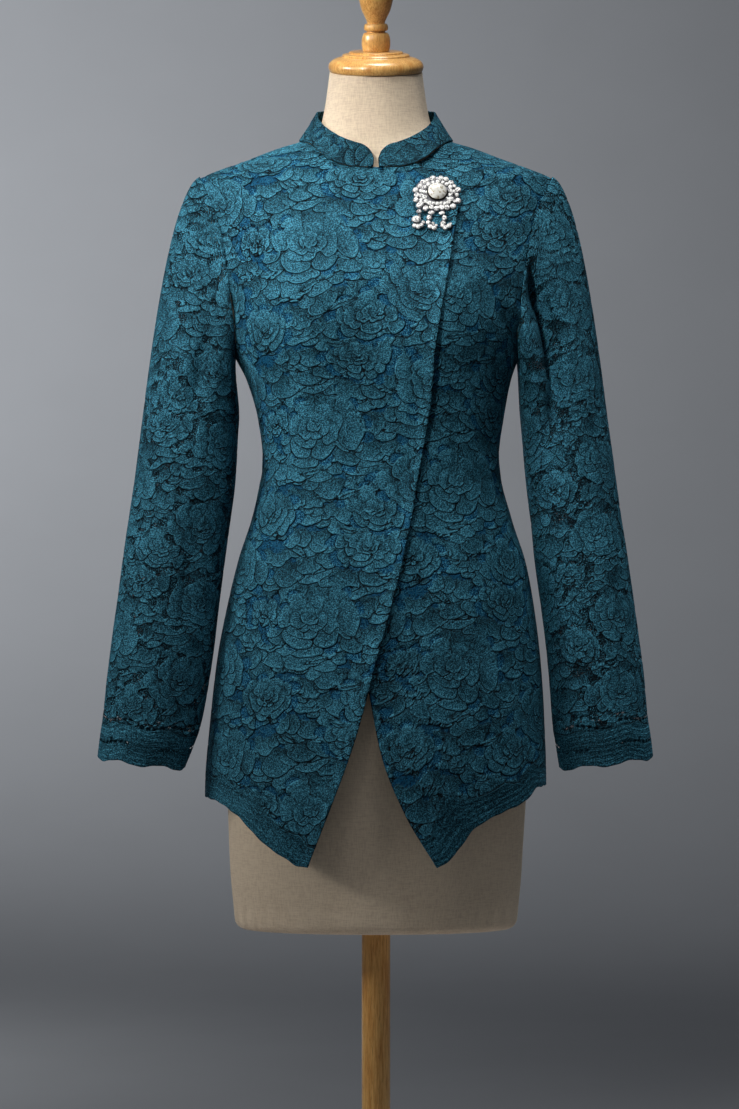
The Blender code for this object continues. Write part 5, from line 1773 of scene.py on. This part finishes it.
@dataclass
class Brooch:
    """The jewelled clasp and the three drops that swing from its lower rim.

    Its rings and drops are rows of stones: place across and up, then half width and, on a drop, half
    height, in millimetres from the brooch's middle or the drop's hinge.
    """

    surface: BodySurface
    outer_ring: tuple[tuple[float, float, float], ...] = (
        (-2.4, 13.3, 3.1), (5.9, 13.6, 2.8), (11.3, 12.7, 2.5), (-8.4, 10.8, 2.4), (-12.8, 8.6, 2.8), (16.0, 8.3, 2.9),
        (19.2, 4.2, 2.2), (-16.1, 4.0, 2.4), (-20.8, -0.7, 2.8), (22.9, 0.0, 3.0), (-19.8, -6.6, 2.8),
        (21.3, -5.9, 2.3), (-21.0, -12.2, 2.6), (22.3, -13.1, 3.0), (-16.1, -16.9, 3.0), (18.9, -13.4, 2.0),
        (-11.4, -22.2, 2.9), (16.8, -19.5, 3.1), (10.5, -21.0, 3.1), (-0.6, -22.4, 2.9), (4.0, -20.7, 2.5),
        (-5.4, -19.7, 2.3),
    )
    inner_ring: tuple[tuple[float, float, float], ...] = (
        (-7.3, 5.3, 2.4), (-3.0, 7.4, 1.9), (2.4, 8.8, 2.0), (7.6, 8.1, 2.0), (11.6, 6.0, 2.2), (-11.8, 1.9, 2.3),
        (-15.1, -2.2, 2.3), (-11.2, -3.7, 2.4), (-15.5, -7.9, 2.4), (-12.0, -9.8, 2.4), (-15.7, -12.9, 1.9),
        (-11.0, -14.7, 2.4), (-7.4, -16.5, 2.3), (-3.2, -16.8, 2.0), (0.8, -17.5, 2.2), (4.8, -16.9, 2.0),
        (8.3, -17.2, 2.2), (12.2, -15.7, 2.3), (15.2, -11.6, 2.5), (14.5, -6.8, 2.2), (17.9, -3.1, 2.3),
        (14.4, -1.6, 2.2), (15.1, 2.4, 2.3), (11.4, -11.0, 1.8),
    )
    drop_stones: tuple[tuple[tuple[float, float, float, float], ...], ...] = (
        (
            (-0.5, -2.7, 2.6, 2.1), (-3.6, -12.0, 4.6, 4.0), (-5.8, -19.6, 2.3, 2.3), (-2.4, -20.7, 2.5, 2.5),
            (1.1, -19.0, 2.4, 2.4), (3.0, -15.7, 2.0, 2.0),
        ),
        (
            (-0.3, -2.4, 3.3, 2.2), (-3.1, -8.1, 2.3, 2.9), (-4.1, -14.1, 2.6, 2.6), (-2.2, -18.8, 2.6, 2.6),
            (1.7, -20.5, 2.6, 2.6), (0.7, -15.1, 1.8, 1.8), (3.7, -17.4, 1.6, 1.6),
        ),
        (
            (-1.0, -2.5, 3.1, 2.2), (1.4, -8.2, 2.5, 3.1), (-0.3, -14.1, 2.7, 2.7), (-1.4, -17.4, 2.0, 2.0),
            (1.9, -19.5, 2.5, 2.5), (5.5, -17.4, 2.6, 2.6), (6.9, -15.0, 1.8, 1.8),
        ),
    )

    def place(self) -> Matrix:
        """X across, Y up along the cloth and Z away from it, at the brooch's middle on the cloth."""
        angle = float(self.surface.angle_at(np.float64(BROOCH_X), np.float64(BROOCH_HEIGHT)))
        lift = float(self.surface.lap_lift(np.float64(angle))) + SEAM_GAP + BROOCH_LIFT
        middle = Vector(self.surface.point(angle, BROOCH_HEIGHT, lift).tolist())
        away = Vector(self.surface.normal(np.float64(angle), np.float64(BROOCH_HEIGHT)).tolist())
        across = Vector((0, 0, 1)).cross(away).normalized()
        turn = Matrix((across, away.cross(across), away)).transposed().to_4x4()
        return Matrix.Translation(middle) @ turn

    def build(self) -> list[Thing]:
        """Makes the brooch and its drops.

        Returns:
            The pieces.
        """
        place = self.place()
        silver = SilverFinish().make()
        crystal = CrystalFinish().make()
        rings = ((self.outer_ring, 1.08, 0.0019), (self.inner_ring, 1.10, 0.0031))
        stones = [
            self.cut(x, y, grown * size, grown * size, lift) for ring, grown, lift in rings for x, y, size in ring
        ]
        stones += [Stone(across, up + RING_ROOM + radius, radius, radius, 0.0028) for _, across, up, radius in DROPS]
        plate = self.plate(place, silver, stones)
        gems = self.gems("brooch_stones", stones, place, crystal)
        dome = self.dome(place, CrystalFinish("Mottled pearl", (226, 224, 216), (166, 158, 134), 330.0).make())
        # A near-black silver arc round the lower side of the dome is painted shadow, standing where the dome's shadow
        # would fall.
        dark = SilverFinish("Silver in painted shadow", (46, 42, 36), (10, 10, 10)).make()
        on_dome = place @ Matrix.Translation((0, 0, DOME_SHADOW_ARC_LIFT))
        rim = self.crescent(DOME_PLACE, *DOME_SHADOW_ARC, on_dome, dark)
        rim.name = "brooch_dome_shadow_arc"
        for piece in (plate, gems, dome, rim):
            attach(piece, CLOTH_BODY)
        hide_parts("brooch")
        pieces = [plate, gems, dome, rim]
        bodies = ("right_drop", "middle_drop", "left_drop")
        for (name, across, up, _), body, spots in zip(DROPS, bodies, self.drop_stones):
            hinge = place @ Matrix.Translation((across, up, BAIL_LIFT))
            hung = [self.cut(*spot, 0.0009) for spot in spots]
            drop, paved = self.drop(name, hinge, hung, silver, crystal)
            for piece in (drop, paved):
                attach(piece, body)
            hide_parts(name)
            pieces += [drop, paved]
        return pieces

    def cut(self, x: float, y: float, wide: float, tall: float, lift: float) -> Stone:
        """A stone whose place and half sizes are given in millimetres."""
        return Stone(x * MM, y * MM, wide * MM, tall * MM, lift)

    def gem(self, stone: Stone, master: Thing, rest: Matrix) -> Thing:
        """A copy of the master stone, sized, turned and put in its place."""
        copy = master.copy()
        copy.data = master.data.copy()
        bpy.context.scene.collection.objects.link(copy)
        place = Matrix.Translation((stone.x, stone.y, stone.lift)) @ Matrix.Rotation(math.radians(stone.turn), 4, "Z")
        thick = 0.5 * (stone.wide + stone.tall)
        copy.data.transform(rest @ place @ Matrix.Diagonal((stone.wide, stone.tall, thick, 1)))
        return copy

    def master(self, sides: int, rows: Sequence[tuple[float, float]], finish: Material) -> Thing:
        """A stone or cup of unit radius, flat-faced, to be copied."""
        thing = turned_piece("master", rows, sides, Matrix.Identity(4), finish)
        select_only(thing)
        bpy.ops.object.shade_flat()
        return thing

    def joined(self, name: str, things: list[Thing], master: Thing) -> Thing:
        """Joins copies into one piece and removes the master they came from."""
        bpy.data.objects.remove(master, do_unlink=True)
        select_only(things[0])
        for thing in things[1:]:
            thing.select_set(True)
        bpy.ops.object.join()
        things[0].name = name
        return things[0]

    def gems(self, name: str, stones: list[Stone], rest: Matrix, finish: Material) -> Thing:
        """Cut stones with a flat table, joined into one piece."""
        master = self.master(10, ((0.52, 0.62), (0.90, 0.30), (0.97, 0.10), (0.90, 0.0)), finish)
        return self.joined(name, [self.gem(stone, master, rest) for stone in stones], master)

    def plate(self, place: Matrix, finish: Material, stones: list[Stone]) -> Thing:
        """The backing plate with a beaded rim and a cup under each stone."""
        oval = Matrix.Translation((0.0, -BROOCH_SET_DOWN, 0.0)) @ Matrix.Diagonal((1.0, BROOCH_TALL, 1.0, 1.0))
        disc = turned_piece("brooch_plate", PLATE_PROFILE, 96, place @ oval, finish)
        master = self.master(12, ((0.80, 0.02), (1.0, 0.10), (1.10, 0.0), (1.10, -0.5)), finish)
        cups = [self.gem(stone, master, place) for stone in stones]
        for bead in range(RIM_BEADS):
            turn = 2 * math.pi * bead / RIM_BEADS
            x, y = RIM_RADIUS * math.cos(turn), RIM_RADIUS * BROOCH_TALL * math.sin(turn) - BROOCH_SET_DOWN
            cups.append(self.gem(Stone(x, y, 0.0007, 0.0007, 0.0014), master, place))
        for _, across, up, _ in DROPS:
            for side in (-1, 1):
                leg = Stone(across + side * BAIL_HALF, up + 0.0011, WIRE, 0.0013, BAIL_LIFT + 0.00017)
                cups.append(self.gem(leg, master, place))
            bar = Stone(across, up, BAIL_HALF + WIRE, WIRE, BAIL_LIFT + 0.0001)
            cups.append(self.gem(bar, master, place))
        return self.joined("brooch_plate", [disc] + cups, master)

    def dome(self, place: Matrix, finish: Material) -> Thing:
        """The large faceted stone in the middle."""
        at = place @ Matrix.Translation((*DOME_PLACE, 0.0030)) @ Matrix.Scale(0.96, 4)
        return turned_piece("brooch_dome", DOME_PROFILE, 48, at, finish)

    def crescent(
        self, centre: tuple[float, float], radius: float, start: float, end: float, thick: float, hinge: Matrix,
        finish: Material,
    ) -> Thing:
        """A curved silver bar, a disc spun along an arc in the plane of the brooch; angles in degrees."""
        first = math.radians(start)
        at = (centre[0] + radius * math.cos(first), centre[1] + radius * math.sin(first), 0.0)
        bpy.ops.object.select_all(action="DESELECT")
        bpy.ops.mesh.primitive_circle_add(
            vertices=10, radius=thick, fill_type="NGON", location=at, rotation=(math.pi / 2, 0, first)
        )
        bar = bpy.context.object
        settle(bar)
        bpy.ops.object.mode_set(mode="EDIT")
        bpy.ops.mesh.select_all(action="SELECT")
        bpy.ops.mesh.spin(
            steps=14, angle=math.radians(end - start), center=(centre[0], centre[1], 0.0), axis=(0, 0, -1)
        )
        bpy.ops.mesh.select_all(action="SELECT")
        bpy.ops.mesh.normals_make_consistent(inside=False)
        bpy.ops.object.mode_set(mode="OBJECT")
        bar.data.transform(hinge)
        bar.data.materials.append(finish)
        select_only(bar)
        bpy.ops.object.shade_smooth_by_angle(angle=math.radians(40))
        return bar

    def drop(
        self, name: str, hinge: Matrix, stones: list[Stone], silver: Material, crystal: Material
    ) -> tuple[Thing, Thing]:
        """One hanging drop: a ring on its bail, silver bars, and stones along them.

        Args:
            name: The CAD node that it stands for.
            hinge: Its hinge's place.
            stones: Its stones, from the hinge.
            silver: The bars' material.
            crystal: The stones' material.

        Returns:
            The silver and the stones.
        """
        top = -(RING - RING_WIRE - WIRE - SEAM_GAP) - RING
        bpy.ops.object.select_all(action="DESELECT")
        bpy.ops.mesh.primitive_torus_add(
            major_segments=20, minor_segments=8, major_radius=RING, minor_radius=RING_WIRE,
            location=(0, top + RING, 0), rotation=(0, math.pi / 2, 0),
        )
        ring = bpy.context.object
        settle(ring)
        ring.data.transform(hinge)
        ring.data.materials.append(silver)
        (x, down, radius, start, end), *links = DROP_BARS[name]
        bars = [ring, self.crescent((x, top - down), radius, start, end, 0.0016, hinge, silver)]
        rods = [Stone(x, top - down, wide, tall, 0.0002, turn) for x, down, wide, tall, turn in links]
        master = self.master(12, ((0.80, 0.02), (1.0, 0.10), (1.10, 0.0), (1.0, -0.5)), silver)
        bars += [self.gem(stone, master, hinge) for stone in stones + rods]
        metal = self.joined(name + "_silver", bars, master)
        return metal, self.gems(name + "_stones", stones, hinge, crystal)


# ---------------------------------------------------------------- studio


@dataclass
class Studio:
    """A pale floor with a grey sweep far behind, soft light from the upper left, and the camera."""

    eye: tuple[float, float, float] = (-0.0068, -3.6, 0.967)
    frame_height: float = 1.1645
    floor_half: float = 9.0
    sweep_start: float = 4.0
    sweep_radius: float = 4.6
    lamps: tuple[tuple, ...] = (
        ("key", (-3.0, -1.0, 2.4), (0.0, 0.0, 1.12), 1.2, 3.0, (1.0, 0.99, 0.97), 60),
        ("near", (-3.0, -1.0, 2.4), (0.0, 0.0, 1.42), 0.9, 2.3, (1.0, 0.985, 0.96), 32),
        ("chest", (-1.5, -2.5, 2.6), (0.02, 0.0, 1.29), 0.5, 0.6, (1.0, 0.99, 0.97), 13),
        ("top", (0.25, -0.45, 3.9), (0.06, 0.0, 1.42), 1.2, 3.9, (1.0, 1.0, 1.0), 36),
        ("rear", (0.8, 3.0, 2.8), (0.0, 0.0, 1.1), 1.8, 6.5, (0.97, 0.98, 1.0), 100),
        ("sweep", (-3.2, 4.0, 3.8), (-0.8, 8.6, 1.8), 2.0, 58, (0.96, 0.98, 1.0), 112),
        ("floor", (-2.6, 2.2, 2.6), (-1.5, 2.8, 0.0), 0.8, 3.8, (0.97, 0.99, 1.0), 56),
    )

    def build(self) -> None:
        """Sets up the floor, lights and camera."""
        self.floor()
        for lamp in self.lamps:
            self.light(*lamp).visible_glossy = lamp[0] != "rear"
        world = bpy.data.worlds.new("Studio")
        world.use_nodes = True
        world.node_tree.nodes["Background"].inputs["Color"].default_value = srgb(186, 190, 196)
        world.node_tree.nodes["Background"].inputs["Strength"].default_value = 0.15
        bpy.context.scene.world = world
        camera = bpy.data.cameras.new("camera")
        camera.sensor_fit = "VERTICAL"
        camera.sensor_height = 24.0
        camera.lens = 24.0 * -self.eye[1] / self.frame_height
        camera.clip_end = 60.0
        seen = bpy.data.objects.new("camera", camera)
        seen.location = self.eye
        seen.rotation_euler = (math.pi / 2, 0, 0)
        bpy.context.scene.collection.objects.link(seen)
        bpy.context.scene.camera = seen
        bpy.context.scene.view_settings.view_transform = "Standard"

    def floor(self) -> None:
        """The floor, and a sweep that rises from it far behind, in one sheet of pale paper."""
        half, far, radius = self.floor_half, self.sweep_start, self.sweep_radius
        turns = np.linspace(0, math.pi / 2, 33)
        rows = [(-half, 0.0), (-2.0, 0.0), (2.0, 0.0)]
        rows += [(far + radius * math.sin(turn), radius * (1 - math.cos(turn))) for turn in turns]
        rows.append((far + radius, 9.0))
        points = np.array([[(x, y, z - 0.0005) for x in np.linspace(-half, half, 7)] for y, z in rows])
        cloth_object("studio_sweep", points, PaperFinish("Pale paper", (196, 198, 202)).make())

    def light(
        self, name: str, place: tuple[float, ...], aim: tuple[float, ...], size: float, power: float,
        colour: Colour, spread: float,
    ) -> Thing:
        """A square soft light aimed at a point; spread is its beam in degrees."""
        lamp = bpy.data.lights.new(name, "AREA")
        lamp.size = size
        lamp.energy = power
        lamp.color = colour
        lamp.spread = math.radians(spread)
        thing = bpy.data.objects.new(name, lamp)
        thing.location = place
        thing.rotation_euler = (Vector(aim) - Vector(place)).to_track_quat("-Z", "Y").to_euler()
        bpy.context.scene.collection.objects.link(thing)
        return thing


def main() -> None:
    """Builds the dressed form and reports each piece."""
    logging.basicConfig(level=logging.INFO, format="%(name)s: %(message)s")
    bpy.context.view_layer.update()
    surface = BodySurface()
    pieces = Blouse(surface, LaceDesign()).build()
    pieces += DressForm(surface).build()
    pieces += Brooch(surface).build()
    Studio().build()
    for piece in pieces:
        log.info("%s: %d faces", piece.name, len(piece.data.polygons))


if __name__ == "__main__":
    main()
